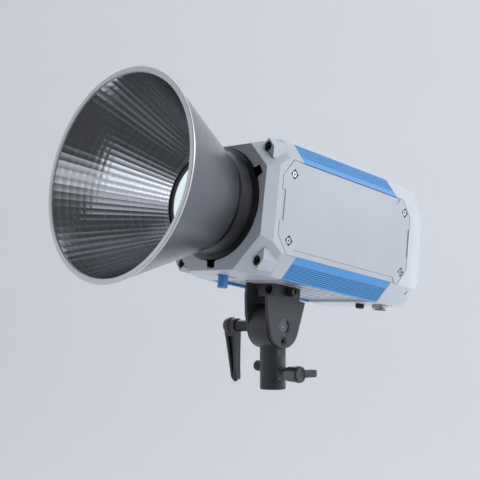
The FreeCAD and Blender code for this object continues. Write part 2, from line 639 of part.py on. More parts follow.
def chassis_tray():
    body = new_body("chassis_tray")
    pad(body, "Z", "-tray_low", "tray_low-tray_high",
        [rectangle("-tray_half", "tray_half", "tray_front", "tray_rear")])
    pad(body, "Z", "-tray_high-0.5", "post_height+0.5", (),
        [(("%d*31" % side, along), "3") for side in (1, -1) for along in ("124", "171")])
    pocket(body, "Z", "-tray_low-1", "10",
           [rectangle("-24", "24", "118+%d*14" % row, "127+%d*14" % row) for row in range(4)])
    pocket(body, "Z", "-tray_low-1", "10", (),
           [((BRACKET_SCREW_SIDE, "pivot_back+(%s)" % along), "2.05") for along in BRACKET_SCREWS])
    node(body, "chassis_tray", HEAD)


def bayonet_plate():
    body = new_body("bayonet_plate")
    outline = octagon("(inner_half_width-0.2)", "(cavity_front_height-0.2)", "(cavity_front_flat-0.2)",
                      "(inner_side_half-0.2)")
    pad(body, "Y", "channel_end", "bayonet_plate_end-channel_end", [outline])
    pocket(body, "Y", "channel_end-1", "10", (),
           [(("0", "0"), "bayonet_plate_bore"), (("0", "-pin_height"), "pin_radius+0.1")])
    node(body, "bayonet_plate", HEAD)


def lock_parts():
    pin = new_body("lock_pin")
    turn(pin, "Y", [("0", "pin_front"), ("pin_radius-0.5", "pin_front"), ("pin_radius", "pin_front+0.8"),
                    ("pin_radius", "pin_rear"), ("0", "pin_rear")], ("0", "0", "-pin_height"))
    node(pin, "lock_pin", HEAD)
    knob = new_body("release_knob")
    turn(knob, "Z", [("0", "-pin_height+2.9"), ("stem_radius", "-pin_height+2.9"),
                     ("stem_radius", "-knob_top"), ("knob_radius", "-knob_top"),
                     ("knob_radius", "-knob_bottom+0.8"), ("knob_radius-0.8", "-knob_bottom"),
                     ("0", "-knob_bottom")], ("0", "stem_position", "0"))
    pocket(knob, "Y", "stem_position-5", "10", (), [(("0", "-pin_height"), "pin_radius+running_gap")])
    node(knob, "release_knob", HEAD)
    start = size("stem_position") + size("stem_radius") + 8.4
    coil("lock_spring", HEAD, "Y", Vector(0, start, -size("pin_height")),
         size("tab_front") - start - 0.6, 2.8, 0.4, 6)


def light_engine():
    retainer = new_body("glass_retainer")
    seat = "retainer_front+glass_thickness+0.1"
    turn(retainer, "Y", [("retainer_inner", "retainer_front-2"), ("retainer_radius", "retainer_front-2"),
                         ("retainer_radius", "base_front-3"), ("retainer_flange", "base_front-3"),
                         ("retainer_flange", "base_front-0.05"), ("retainer_inner", "base_front-0.05"),
                         ("retainer_inner", seat + "+2"), ("retainer_inner-2", seat + "+2"),
                         ("retainer_inner-2", seat), ("retainer_inner", seat)])
    node(retainer, "glass_retainer", HEAD)
    glass = new_body("cover_glass")
    turn(glass, "Y", [("0", "retainer_front"), ("retainer_inner-1", "retainer_front"),
                      ("retainer_inner-0.1", "retainer_front+0.9"),
                      ("retainer_inner-0.1", "retainer_front+glass_thickness"),
                      ("0", "retainer_front+glass_thickness")])
    node(glass, "cover_glass", HEAD)
    substrate = new_body("led_substrate")
    pad(substrate, "Y", "base_front-2", "1.95",
        [rectangle("-substrate_half", "substrate_half", "-substrate_half", "substrate_half")])
    node(substrate, "led_substrate", HEAD)
    emitter = new_body("led_emitter")
    turn(emitter, "Y", [("0", "base_front-2.85"), ("emitter_radius-0.5", "base_front-2.85"),
                        ("emitter_radius", "base_front-2.05"), ("0", "base_front-2.05")])
    node(emitter, "led_emitter", HEAD)


def pipe_centres():
    return [("%d*pipe_side" % column, "%d*pipe_height" % up) for column in (-1, 0, 1) for up in (1, -1)]


def heat_sink():
    base = new_body("led_base_plate")
    pad(base, "Y", "base_front", "base_thickness",
        [octagon("base_half_width", "base_half_height", "base_flat_half", "base_side_half")])
    pocket(base, "Y", "pipe_front", "base_thickness", (),
           [(centre, "pipe_hole") for centre in pipe_centres()])
    node(base, "led_base_plate", HEAD)
    pipes = [rod("Y", (across, "pipe_front+0.05", high), "pipe_radius", "pipe_rear-pipe_front")
             for across, high in pipe_centres()]
    node(fuse(pipes), "heat_pipes", HEAD)
    fins = []
    for index in range(int(size("fin_count"))):
        start = "fin_front+%d*fin_pitch" % index
        fins.append(box(("-fin_half", start, "-fin_bottom"),
                        ("fin_half", start + "+fin_thickness", "fin_top")))
    holes = [rod("Y", (across, "fin_front-1", high), "pipe_hole", "pipe_rear-fin_front+2")
             for across, high in pipe_centres()]
    node(cut(fuse(fins), fuse(holes)), "cooling_fins", HEAD)


def fan():
    frame = new_body("fan_frame")
    pad(frame, "Z", "fan_low", "fan_high-fan_low",
        [rectangle("-fan_half", "fan_half", "fan_centre-fan_half", "fan_centre+fan_half")])
    pocket(frame, "Z", "fan_low-1", "20", (), [(("0", "fan_centre"), "fan_bore")])
    pocket(frame, "Z", "fan_low-1", "20", (),
           [(("%d*(fan_half-4.3)" % side, "fan_centre+%d*(fan_half-4.3)" % up), "2.2")
            for side, up in corner_points()])
    pad(frame, "Z", "fan_low", "2", [rectangle("-fan_bore-1", "fan_bore+1", "fan_centre-2", "fan_centre+2")])
    pad(frame, "Z", "fan_low", "2",
        [rectangle("-2", "2", "fan_centre-fan_bore-1", "fan_centre+fan_bore+1")])
    pad(frame, "Z", "fan_low", "2", (), [(("0", "fan_centre"), "fan_hub-1")])
    node(frame, "fan_frame", HEAD)
    middle = (size("fan_low") + size("fan_high")) / 2 + 1.2
    parts = [rod("Z", ("0", "fan_centre", "fan_low+2.8"), "fan_hub", "fan_high-fan_low-4")]
    for index in range(int(size("blade_count"))):
        blade = DOC.addObject("Part::Box", "blade")
        blade.setExpression("Length", formula("blade_tip-fan_hub+1"))
        blade.setExpression("Width", formula("blade_chord"))
        blade.setExpression("Height", formula("blade_thickness"))
        around = Rotation(Vector(0, 0, 1), 360.0 * index / size("blade_count"))
        pitched = around.multiply(Rotation(X_DIR, 38))
        corner = Vector(size("fan_hub") - 1, -size("blade_chord") / 2, -size("blade_thickness") / 2)
        blade.Placement = Placement(Vector(0, size("fan_centre"), middle) + pitched.multVec(corner), pitched)
        parts.append(blade)
    node(fuse(parts), "fan_rotor", HEAD)


def driver():
    board = new_body("driver_board")
    level = "-tray_high+post_height+0.05"
    pad(board, "Z", level, "board_thickness", [rectangle("-35", "35", "118", "176")])
    pocket(board, "Z", level + "-1", "4", (),
           [(("%d*31" % side, along), "1.6") for side in (1, -1) for along in ("124", "171")])
    node(board, "driver_board", HEAD)
    top = level + "+board_thickness+0.05"
    core = box(("-26", "128", top), ("2", "156", top + "+20"))
    winding = rod("Z", ("-12", "142", top + "+20"), "11", "4")
    parts = [fuse([core, winding])]
    for along in ("133", "151"):
        parts.append(rod("Z", ("17", along, top), "8", "28"))
    for along in ("164", "170"):
        parts.append(box(("-20", along, top), ("20", along + "+2.4", top + "+14")))
    node(fuse(parts), "driver_components", HEAD)


# ---------------------------------------------------------------- rear controls
def control_board():
    board = box(("-32", "216.6", "control_low+1"), ("32", "218.2", "control_high-2"))
    switches = [rod("Y", ("%d*button_pitch" % column, "218.1", "button_height"), "1.8", "0.9")
                for column in (-1, 0, 1)]
    encoders = []
    for side in (1, -1):
        centre = "%d*control_knob_side" % side
        shell = box((centre + "-5.5", "218.1", "control_knob_height-5.5"),
                    (centre + "+5.5", "225.5", "control_knob_height+5.5"))
        encoders.append(cut(shell, rod("Y", (centre, "219", "control_knob_height"), "3.1", "10")))
    node(fuse([board] + switches + encoders), "control_board", HEAD)
    display = new_body("display_module")
    pad(display, "Y", "218.3", "8.6", [rectangle("-15", "15", "25.5", "42")])
    pocket(display, "Y", "226.4", "2", [rectangle("-13.5", "13.5", "28", "41")])
    node(display, "display_module", HEAD)
    window = new_body("display_window")
    pad(window, "Y", "227", "1.2", [rectangle("-15.8", "15.8", "24.8", "42.8")])
    round_edges(window, "1.5", lambda edge: lies_along(edge, Y_DIR))
    node(window, "display_window", HEAD)


def control_panel():
    body = new_body("control_panel")
    pad(body, "Y", "control_front", "control_rear-control_front",
        [rectangle("-control_half+0.15", "control_half-0.15", "control_low+0.15", "control_high-0.15")])
    pocket(body, "Y", "control_front-1", "6", [rectangle("-15.2", "15.2", "25.3", "42.2")])
    pocket(body, "Y", "226.95", "3", [rectangle("-16", "16", "24.6", "43")])
    knobs = [(("%d*control_knob_side" % side, "control_knob_height"), "3.2") for side in (1, -1)]
    buttons = [(("%d*button_pitch" % column, "button_height"), "button_radius+0.15")
               for column in (-1, 0, 1)]
    pocket(body, "Y", "control_front-1", "6", (), knobs + buttons)
    node(body, "control_panel", HEAD)


def control_knob(name, side):
    """A fluted cap on a stub shaft that runs into its encoder."""
    body = new_body(name)
    turn(body, "Y", [("0", "219.2"), ("3", "219.2"), ("3", "control_rear+0.5"),
                     ("control_knob_radius", "control_rear+0.5"),
                     ("control_knob_radius", "control_rear+7"),
                     ("control_knob_radius-1", "control_rear+8"), ("0", "control_rear+8")],
         ("%d*control_knob_side" % side, "0", "control_knob_height"))
    flutes = []
    for index in range(16):
        angle = 22.5 * index
        flutes.append((("%d*control_knob_side+(control_knob_radius+0.25)*cos(%g)" % (side, angle),
                        "control_knob_height+(control_knob_radius+0.25)*sin(%g)" % angle), "0.7"))
    pocket(body, "Y", "control_rear+2", "10", (), flutes)
    node(body, name, HEAD)


def button(name, column):
    body = new_body(name)
    turn(body, "Y", [("0", "219.9"), ("button_radius-0.8", "219.9"), ("button_radius-0.8", "224.6"),
                     ("button_radius+0.9", "224.6"), ("button_radius+0.9", "225.4"),
                     ("button_radius", "225.4"), ("button_radius", "228.9"),
                     ("button_radius-0.5", "229.4"), ("0", "229.4")],
         ("%d*button_pitch" % column, "0", "button_height"))
    node(body, name, HEAD)


def turned_point(point, pivot, angle):
    """A point turned about a pivot, as formulas."""
    across, up = point
    return ("%s+(%s)*cos(%g)-(%s)*sin(%g)" % (pivot[0], across, angle, up, angle),
            "%s+(%s)*sin(%g)+(%s)*cos(%g)" % (pivot[1], across, angle, up, angle))


ROCKER_PIVOT = ("231", "-switch_height")
ROCKER_TILT = 8


def power_switch():
    body = new_body("power_switch")
    middle = "-switch_side"
    pad(body, "Y", "217", "ledge_end-217", [rectangle(middle + "-9.8", middle + "+9.8",
                                                      "-switch_height-6.3", "-switch_height+6.3")])
    pad(body, "Y", "ledge_end+0.1", "0.9", [rectangle(middle + "-11.5", middle + "+11.5",
                                                  "-switch_height-8", "-switch_height+8")])
    pad(body, "Y", "ledge_end-0.5", "1", [rectangle(middle + "-9.8", middle + "+9.8",
                                                "-switch_height-6.3", "-switch_height+6.3")])
    pocket(body, "Y", "226", "20", [rectangle(middle + "-8.2", middle + "+8.2",
                                            "-switch_height-5.5", "-switch_height+5.5")])
    pocket(body, "X", middle + "-9.2", "18.4", (), [(ROCKER_PIVOT, "1.2+running_gap")])
    node(body, "power_switch", HEAD)
    rocker = new_body("power_rocker")
    outline = [("-2", "-4.6"), ("2.6", "-4.8"), ("4.0", "-4.4"), ("2.6", "0"), ("4.0", "4.4"),
               ("2.6", "4.8"), ("-2", "4.6")]
    pad(rocker, "X", middle + "-8", "16",
        [[turned_point(point, ROCKER_PIVOT, ROCKER_TILT) for point in outline]])
    pad(rocker, "X", middle + "-9", "18", (), [(ROCKER_PIVOT, "1.2")])
    node(rocker, "power_rocker", HEAD)


def connectors():
    inlet = new_body("power_inlet")
    centre = ("inlet_side", "inlet_back", "0")
    turn(inlet, "Z", [("0", "-48"), ("7.9", "-48"), ("7.9", "-63.2"), ("8.0", "-64"), ("7.4", "-64.6"),
                      ("6.5", "-64.6"), ("6.5", "-57"), ("0", "-57")], centre)
    pins = [(("inlet_side+3.4*cos(%d)" % angle, "inlet_back+3.4*sin(%d)" % angle), "0.9")
            for angle in (90, 210, 330)]
    pad(inlet, "Z", "-62.5", "6", (), pins)
    node(inlet, "power_inlet", HEAD)
    port = new_body("data_port")
    turn(port, "Z", [("0", "-50"), ("4.25", "-50"), ("4.25", "-64"), ("3.7", "-64.6"), ("2.6", "-64.6"),
                     ("2.6", "-56"), ("0", "-56")], ("port_side", "port_back", "0"))
    node(port, "data_port", HEAD)


# ---------------------------------------------------------------- tilt bracket
def mount_pad():
    body = new_body("tilt_mount_pad")
    pad(body, "Z", "-pad_bottom", "pad_bottom-tray_low-0.05",
        [rectangle("-pad_half", "pad_half", "pad_front", "pad_rear")])
    pocket(body, "Z", "-pad_bottom-1", "10", (),
           [((BRACKET_SCREW_SIDE, "pivot_back+(%s)" % along), "2.05") for along in BRACKET_SCREWS])
    round_edges(body, "pad_corner", lambda edge: lies_along(edge, Vector(0, 0, 1))
                and edge.BoundBox.ZLength > 5)
    node(body, "tilt_mount_pad", HEAD)
    screws = []
    for along in BRACKET_SCREWS:
        position = "pivot_back+(%s)" % along
        head = rod("Z", (BRACKET_SCREW_SIDE, position, "-pivot_drop+26"), "3.4", "3.5")
        shank = rod("Z", (BRACKET_SCREW_SIDE, position, "-pivot_drop+29.5"), "1.95", "18")
        socket = prism("Z", (BRACKET_SCREW_SIDE, position, "-pivot_drop+25"), "1.7", "3")
        screws.append(cut(fuse([head, shank]), socket))
    node(fuse(screws), "bracket_screws", HEAD)


def tilt_yoke():
    """Two ears joined by a top plate and by the block that holds the umbrella shaft."""
    body = new_body("tilt_yoke")
    near = [("-19.4", "-3.4"), ("19.4", "-3.4"), ("21.9", "7.5"), ("ear_rear", "ear_shoulder"),
            ("neck_half", "ear_shoulder+0.8"), ("neck_half", "ear_top"), ("-neck_half", "ear_top"),
            ("-neck_half", "ear_shoulder+0.8"), ("-ear_front", "ear_shoulder"), ("-23.6", "7.5")]
    far = [("-19.4", "-3.4"), ("19.4", "-3.4"), ("21.9", "7.5"), ("ear_rear", "ear_shoulder"),
           ("ear_rear", "ear_top"), ("-ear_front", "ear_top"), ("-ear_front", "ear_shoulder"),
           ("-23.6", "7.5")]
    pad(body, "Z", "ear_shoulder", "ear_top-ear_shoulder",
        [rectangle("-block_left", "ear_outer", "-neck_half", "neck_half")])
    pad(body, "Z", "bridge_bottom", "ear_top-bridge_bottom",
        [rectangle("-ear_outer", "0", "-neck_half", "neck_half")])
    pad(body, "X", "ear_inner", "ear_outer-ear_inner", [near])
    pad(body, "X", "ear_inner", "ear_outer-ear_inner", (), [(("0", "0"), "ear_radius")])
    pad(body, "X", "-ear_outer", "ear_outer-ear_inner", [far])
    pad(body, "X", "-ear_outer", "ear_outer-ear_inner", (), [(("0", "0"), "ear_radius")])
    pocket(body, "X", "ear_inner-1", "6", (), [(("0", "0"), "axle_head+running_gap"),
                                              (("0", "-tension_drop"), "tension_radius+running_gap")])
    pocket(body, "X", "-ear_outer-1", "6", (), [(("0", "0"), "axle_radius+running_gap")])
    pocket(body, "Y", "-neck_half-1", "2*neck_half+2", (),
           [(("umbrella_side", "umbrella_height"), "umbrella_radius")])
    pocket(body, "X", "umbrella_side", "20", (), [(("0", "umbrella_height"), "2.5")])
    pocket(body, "Z", "ear_shoulder-1", "20", (),
           [((BRACKET_SCREW_SIDE, along), "2.05") for along in BRACKET_SCREWS])
    pocket(body, "Z", "ear_shoulder-1", "30.5-ear_shoulder", (),
           [((BRACKET_SCREW_SIDE, along), "3.6") for along in BRACKET_SCREWS])
    node(body, "tilt_yoke", YOKE)


def umbrella_screw():
    tip = new_body("umbrella_screw_tip")
    centre = ("0", "0", "umbrella_height")
    turn(tip, "X", [("11.1", "0"), ("11.1", "1.9"), ("11.6", "2.4"), ("14", "2.4"), ("14", "0")], centre)
    node(tip, "umbrella_screw_tip", YOKE)
    knob = new_body("umbrella_knob")
    turn(knob, "X", [("14.1", "0"), ("14.1", "2.4"), ("15.3", "2.4"), ("15.3", "4"), ("15.6", "4.3"),
                     ("22.6", "4.3"), ("23", "3.9"), ("23", "2.4"), ("21", "2.4"), ("21", "0")], centre)
    grips = [(("4.5*cos(%g)" % (30 * index), "umbrella_height+4.5*sin(%g)" % (30 * index)), "0.5")
             for index in range(12)]
    pocket(knob, "X", "16.4", "5.4", (), grips)
    node(knob, "umbrella_knob", YOKE)


def pivot_hardware():
    axle = new_body("pivot_axle")
    turn(axle, "X", [("-36", "0"), ("-36", "3.4"), ("-35.2", "stud_radius"), ("-14.4", "stud_radius"),
                     ("-14.4", "axle_radius"), ("11.2", "axle_radius"), ("11.2", "axle_head"),
                     ("14.1", "axle_head"), ("14.3", "axle_head-0.4"), ("14.3", "axle_head-1.2"),
                     ("13.3", "axle_head-2.4"), ("12.9", "0")])
    node(axle, "pivot_axle", YOKE)
    screw = new_body("tension_screw")
    turn(screw, "X", [("11", "0"), ("11", "tension_radius"), ("13.6", "tension_radius"),
                      ("13.9", "tension_radius-0.3"), ("13.9", "0")], ("0", "0", "-tension_drop"))
    pocket(screw, "X", "12", "4", [[(across, "-tension_drop+" + up) for across, up in regular(6, "2.3")]])
    node(screw, "tension_screw", YOKE)


def star(count, outer, inner):
    """A toothed outline."""
    points = []
    for index in range(2 * count):
        radius = outer if index % 2 == 0 else inner
        angle = 180.0 * index / count
        points.append(("%s*cos(%g)" % (radius, angle), "%s*sin(%g)" % (radius, angle)))
    return points


def lever():
    sleeve = new_body("lever_sleeve")
    turn(sleeve, "X", [("-49", "1.95"), ("-49", "3.4"), ("-43.2", "3.4"), ("-43.2", "5.2"),
                       ("-42.9", "5.5"), ("-15", "5.5"), ("-14.6", "5.1"), ("-14.6", "stud_radius+0.05"),
                       ("-38", "stud_radius+0.05"), ("-39", "1.95")])
    pad(sleeve, "X", "-46.4", "3.3", [star(12, "5.1", "4.4")])
    pocket(sleeve, "X", "-50", "11.5", (), [(("0", "0"), "1.95")])
    node(sleeve, "lever_sleeve", LEVER)
    handle = new_body("lever_handle")
    loft(handle, "Z", [
        ("-4", rectangle("-58.6", "-44.4", "-4.2", "4.2")),
        ("-22", rectangle("-55.2", "-44.6", "-3.7", "3.7")),
        ("-48.6", rectangle("-50.3", "-44.8", "-3.4", "3.4")),
        ("-lever_reach", rectangle("-46.6", "-45", "-3.1", "-0.9"))])
    turn(handle, "X", [("-lever_hub_end+2.2", "0"), ("-lever_hub_end+2.2", "5.6"),
                       ("-lever_hub_end+2.9", "6.7"), ("-lever_hub_end+4.4", "lever_hub-0.3"),
                       ("-55.6", "lever_hub"), ("-51.4", "lever_hub"), ("-50.4", "lever_neck+0.3"),
                       ("-50", "lever_neck"), ("-lever_hub_start-0.5", "lever_neck"),
                       ("-lever_hub_start", "lever_neck-0.5"), ("-lever_hub_start", "0")])
    # grip pad at the toe, and the channel down the front face
    pad(handle, "Z", "-50.6", "8.4", [rectangle("-45.4", "-43.9", "-3", "3")])
    pocket(handle, "Y", "-8", "7.4", [[("-54.4", "-10"), ("-47.2", "-10"), ("-47.2", "-46.5"),
                                       ("-48.4", "-46.5")]])
    pocket(handle, "X", "-46.6", "4", [star(12, "5.25", "4.55")])
    pocket(handle, "X", "-49.2", "2.7", (), [(("0", "0"), "5.4")])
    pocket(handle, "X", "-52", "6", (), [(("0", "0"), "2.3")])
    pocket(handle, "X", "-lever_hub_end-1", "lever_hub_end+1-50.2", (), [(("0", "0"), "4.2")])
    node(handle, "lever_handle", LEVER)
    cap = new_body("lever_cap")
    turn(cap, "X", [("-lever_hub_end-0.2", "0"), ("-lever_hub_end", "2"), ("-lever_hub_end+0.8", "4"),
                    ("-lever_hub_end+2.1", "5.3"), ("-lever_hub_end+2.1", "4.1"),
                    ("-lever_hub_end+3.6", "4.1"), ("-lever_hub_end+3.6", "3.3"),
                    ("-lever_hub_end+1.6", "3.3"), ("-lever_hub_end+1.6", "0")])
    node(cap, "lever_cap", LEVER)
    retainer = new_body("lever_retainer")
    turn(retainer, "X", [("-58.9", "0"), ("-58.9", "2.6"), ("-58.4", "3.1"), ("-57", "3.1"),
                         ("-57", "1.9"), ("-40.5", "1.9"), ("-40.5", "0")])
    pocket(retainer, "X", "-60", "2.4", [regular(6, "1.6")])
    node(retainer, "lever_retainer", LEVER)
    coil("lever_spring", LEVER, "X", Vector(-56.6, 0, 0), 2.8, 3.0, 0.3, 3)


# ---------------------------------------------------------------- stand socket
def stand_socket():
    body = new_body("stand_socket")
    turn(body, "Z", [("0", "-pivot_height"), ("socket_radius-0.6", "-pivot_height"),
                     ("socket_radius", "-pivot_height+0.6"), ("socket_radius", "-8"), ("0", "-8")])
    # flats that let the ears of the yoke swing past
    pocket(body, "Z", "-ear_sweep", "ear_sweep",
           [rectangle("%d*knuckle_half" % side, "%d*(socket_radius+1)" % side, "-13", "13")
            for side in (1, -1)])
    pad(body, "X", "-knuckle_half", "2*knuckle_half", (), [(("0", "0"), "knuckle_radius")])
    pad(body, "X", "0", "clamp_boss_end", (), [(("0", "clamp_height-pivot_height"), "clamp_boss")])
    pocket(body, "X", "-knuckle_half-5", "2*knuckle_half+10", (),
           [(("0", "0"), "axle_radius+running_gap")])
    # bore for the stand's spigot, with a chamfered mouth
    pocket(body, "Z", "-pivot_height-1", "spigot_depth+1", (), [(("0", "0"), "spigot_radius")])
    pocket(body, "X", "0", "20", (), [(("0", "clamp_height-pivot_height"), "clamp_stud+running_gap")])
    pocket(body, "X", "-20", "20", (), [(("0", "plug_height-pivot_height"), "4")])
    groove = new_sketch(body, "XZ_Plane", ("0", "0", "0"))
    draw_polygon(groove, [("0", "-pivot_height-1"), ("spigot_radius+1.6", "-pivot_height-1"),
                          ("spigot_radius+0.6", "-pivot_height"), ("0", "-pivot_height+spigot_radius+0.6")])
    mouth = body.newObject("PartDesign::Groove", "mouth_chamfer")
    mouth.Profile = groove
    mouth.ReferenceAxis = (groove, ["V_Axis"])
    mouth.Angle = 360
    node(body, "stand_socket", LEVER)
    plug = new_body("socket_plug")
    turn(plug, "X", [("-22", "0"), ("-21.6", "2.4"), ("-20.4", "4.2"), ("-19", "5"), ("-12.2", "5"),
                     ("-12.2", "3.9"), ("-8.5", "3.9"), ("-8.5", "0")],
         ("0", "0", "plug_height-pivot_height"))
    node(plug, "socket_plug", LEVER)


def socket_clamp():
    foot = new_body("clamp_foot")
    turn(foot, "X", [("8.4", "0"), ("8.4", "3.6"), ("9", "clamp_stud-0.1"), ("10.2", "clamp_stud-0.1"),
                     ("10.2", "0")])
    node(foot, "clamp_foot", CLAMP)
    knob = new_body("socket_knob")
    turn(knob, "X", [("10.3", "0"), ("10.3", "clamp_stud"), ("14.6", "clamp_stud"), ("18.6", "5.1"),
                     ("18.8", "6.2"), ("20", "6.7"), ("32.2", "7.5"), ("33.5", "7.2"), ("34", "6.5"),
                     ("34", "5.6"), ("33.2", "4.4"), ("32.6", "0")])
    pad(knob, "Z", "-wing_half", "2*wing_half",
        [[("23", "-6.4"), ("27", "-wing_reach+2"), ("28", "-wing_reach"), ("32", "-wing_reach"),
          ("33", "-wing_reach+2"), ("32.6", "-6.4"), ("32.6", "6.4"), ("33", "wing_reach-2"),
          ("32", "wing_reach"), ("28", "wing_reach"), ("27", "wing_reach-2"), ("23", "6.4")]])
    round_edges(knob, "3", lambda edge: lies_along(edge, X_DIR) and edge.Length > 3
                and abs(edge.CenterOfMass.y) > size("wing_reach") - 0.1)
    node(knob, "socket_knob", CLAMP)


# ---------------------------------------------------------------- reflector
def reflector():
    ring = new_body("reflector_ring")
    turn(ring, "Y", [("ring_inner", "-throat_depth+1"), ("cone_start_radius", "-throat_depth+1"),
                     ("cone_start_radius+0.6", "-throat_depth+2.5"), ("46.4", "-8"), ("46.9", "-5.9"),
                     ("46.9", "-4.4"), ("ring_radius-1.2", "-3.2"), ("ring_radius", "-2"),
                     ("ring_radius", "lug_rear"), ("ring_inner", "lug_rear")])
    lug = pad(ring, "Y", "lug_front", "lug_rear-lug_front",
              [rectangle("-lug_half_width", "lug_half_width", "-lug_radius", "-ring_radius+1")],
              spin=size("slot_twist"))
    polar(ring, lug, "Y", 3)
    node(ring, "reflector_ring", HEAD)
    # the spun shell, with a flat lip turned in at the mouth
    shell = new_body("reflector")
    turn(shell, "Y", [("throat_radius", "-throat_depth"), ("cone_start_radius", "-throat_depth"),
                      ("cone_start_radius+1.6", "-throat_depth-1.4"), ("mouth_radius", "-mouth_depth+1"),
                      ("lip_outer", "-mouth_depth+0.5"), ("lip_outer", "-mouth_depth-0.8"),
                      ("lip_outer-0.4", "-mouth_depth-1.2"), ("lip_inner+0.3", "-mouth_depth-1.2"),
                      ("lip_inner", "-mouth_depth-0.9"), ("lip_inner", "-mouth_depth-0.1"),
                      ("mouth_radius-shell_thickness-0.3", "-mouth_depth-0.1"),
                      ("cone_start_radius+0.6", "-throat_depth-1.2"),
                      ("throat_radius", "-throat_depth-1.2")])
    node(shell, "reflector", HEAD)
    # the mirror cone inside it
    liner = new_body("reflector_liner")
    turn(liner, "Y", [("throat_radius", "-throat_depth-1.3"),
                      ("throat_radius+liner_thickness", "-throat_depth-1.3"),
                      ("liner_mouth+liner_thickness", "-mouth_depth"), ("liner_mouth", "-mouth_depth")])
    node(liner, "reflector_liner", HEAD)


# ---------------------------------------------------------------- build and export
front_bezel()
rear_housing()
for rail_name, rail_side, rail_up in (("upper_rail_right", 1, 1), ("upper_rail_left", -1, 1),
                                      ("lower_rail_right", 1, -1), ("lower_rail_left", -1, -1)):
    corner_rail(rail_name, rail_side, rail_up)
corner_screws()
side_panel("side_panel_right", 1)
side_panel("side_panel_left", -1)
side_panel_screws()
grille("top_grille", 1)
grille("bottom_grille", -1)
chassis_tray()
bayonet_plate()
lock_parts()
light_engine()
heat_sink()
fan()
driver()
control_board()
control_panel()
control_knob("brightness_knob", 1)
control_knob("colour_knob", -1)
button("mode_button", -1)
button("effect_button", 0)
button("channel_button", 1)
power_switch()
connectors()
mount_pad()
tilt_yoke()
umbrella_screw()
pivot_hardware()
lever()
stand_socket()
socket_clamp()
reflector()

DOC.recompute()
broken = []
for feature in DOC.Objects:
    if "Invalid" in feature.State or "Error" in feature.State:
        broken.append("%s %s" % (feature.Label, feature.getStatusString()))
if broken:
    raise RuntimeError("does not compute: " + "; ".join(broken))
faulty = [name for name, made in NODES.items() if made.Shape.isNull() or not made.Shape.isValid()]
if faulty:
    raise RuntimeError("no valid shape: " + ", ".join(faulty))

os.makedirs("parts", exist_ok=True)
for name, shape_object in NODES.items():
    shape_object.Shape.exportStep("parts/%s.step" % name)
print("sub-parts written: %d" % len(NODES))
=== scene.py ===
import json
import math

import bmesh
import bpy
from mathutils import Matrix, Vector


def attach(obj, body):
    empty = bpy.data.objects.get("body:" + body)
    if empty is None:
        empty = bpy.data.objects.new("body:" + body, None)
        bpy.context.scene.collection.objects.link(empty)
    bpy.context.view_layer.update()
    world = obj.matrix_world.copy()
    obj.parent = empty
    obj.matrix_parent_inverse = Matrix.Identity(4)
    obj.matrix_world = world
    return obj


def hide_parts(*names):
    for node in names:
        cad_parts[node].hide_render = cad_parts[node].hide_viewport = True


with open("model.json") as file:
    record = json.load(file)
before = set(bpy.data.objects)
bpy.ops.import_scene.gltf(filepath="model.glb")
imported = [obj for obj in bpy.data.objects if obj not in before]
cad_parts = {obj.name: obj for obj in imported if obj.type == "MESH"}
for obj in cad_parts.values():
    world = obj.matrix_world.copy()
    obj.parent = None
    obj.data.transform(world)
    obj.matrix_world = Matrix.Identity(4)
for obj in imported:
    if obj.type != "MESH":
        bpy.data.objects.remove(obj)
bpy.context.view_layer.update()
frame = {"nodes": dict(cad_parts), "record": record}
NODES = frame["nodes"]

# ---------------------------------------------------------------- frames
# The head is drawn in its own frame, with its origin at the bezel's front and Y rearwards, and is
# tilted about the pivot. Lengths are in metres unless a name or a comment says otherwise.
PIVOT = Vector((0, 0, 0.057))
PIVOT_IN_HEAD = Vector((0, 0.0869, -0.0961))
TILT = math.radians(8.3)
HEAD = (Matrix.Translation(PIVOT) @ Matrix.Rotation(-TILT, 4, "X")
        @ Matrix.Translation(-PIVOT_IN_HEAD))


def mm(*values):
    return tuple(value / 1000.0 for value in values)


# ---------------------------------------------------------------- where finishes begin and end
# In the head's frame: the two edges of the slanted face of a corner rail, as (x, z).
RAIL_SIDE_EDGE = mm(59.7, 41.4)
RAIL_FLAT_EDGE = mm(44.5, 60.2)
# Depths below that face between which a groove gets painted shade.
GROOVE_START = 0.00025
GROOVE_END = 0.0012
# The bayonet's opening with its slots: its radius, and how far back it gets painted shade.
OPENING_RADIUS = 0.0549
OPENING_START = 0.0003
OPENING_END = 0.03
# The bores of the corner screws: where they are, their radius, and how far back they get painted
# shade.
BORE_SIDE = 0.0462
BORE_HEIGHT = 0.0494
BORE_RADIUS = 0.0047
BORE_START = 0.0095
BORE_END = 0.2195
# The outer face of the grilles, and how far below it their slots get painted shade.
GRILLE_FACE = 0.0576
SLAT_SHADOW = 0.0002
# The reflector's lip is in front of this, and the floors of the panels' recesses, which get painted
# shade, are inside that.
LIP_BACK = -0.1118
RECESS_FLOOR = 0.0586
# In the part's frame: the axis of the umbrella screw, as (y, z), and the radius of its end.
UMBRELLA_AXIS = (0.004591, 0.088467)
SCREW_END_RADIUS = 0.0019


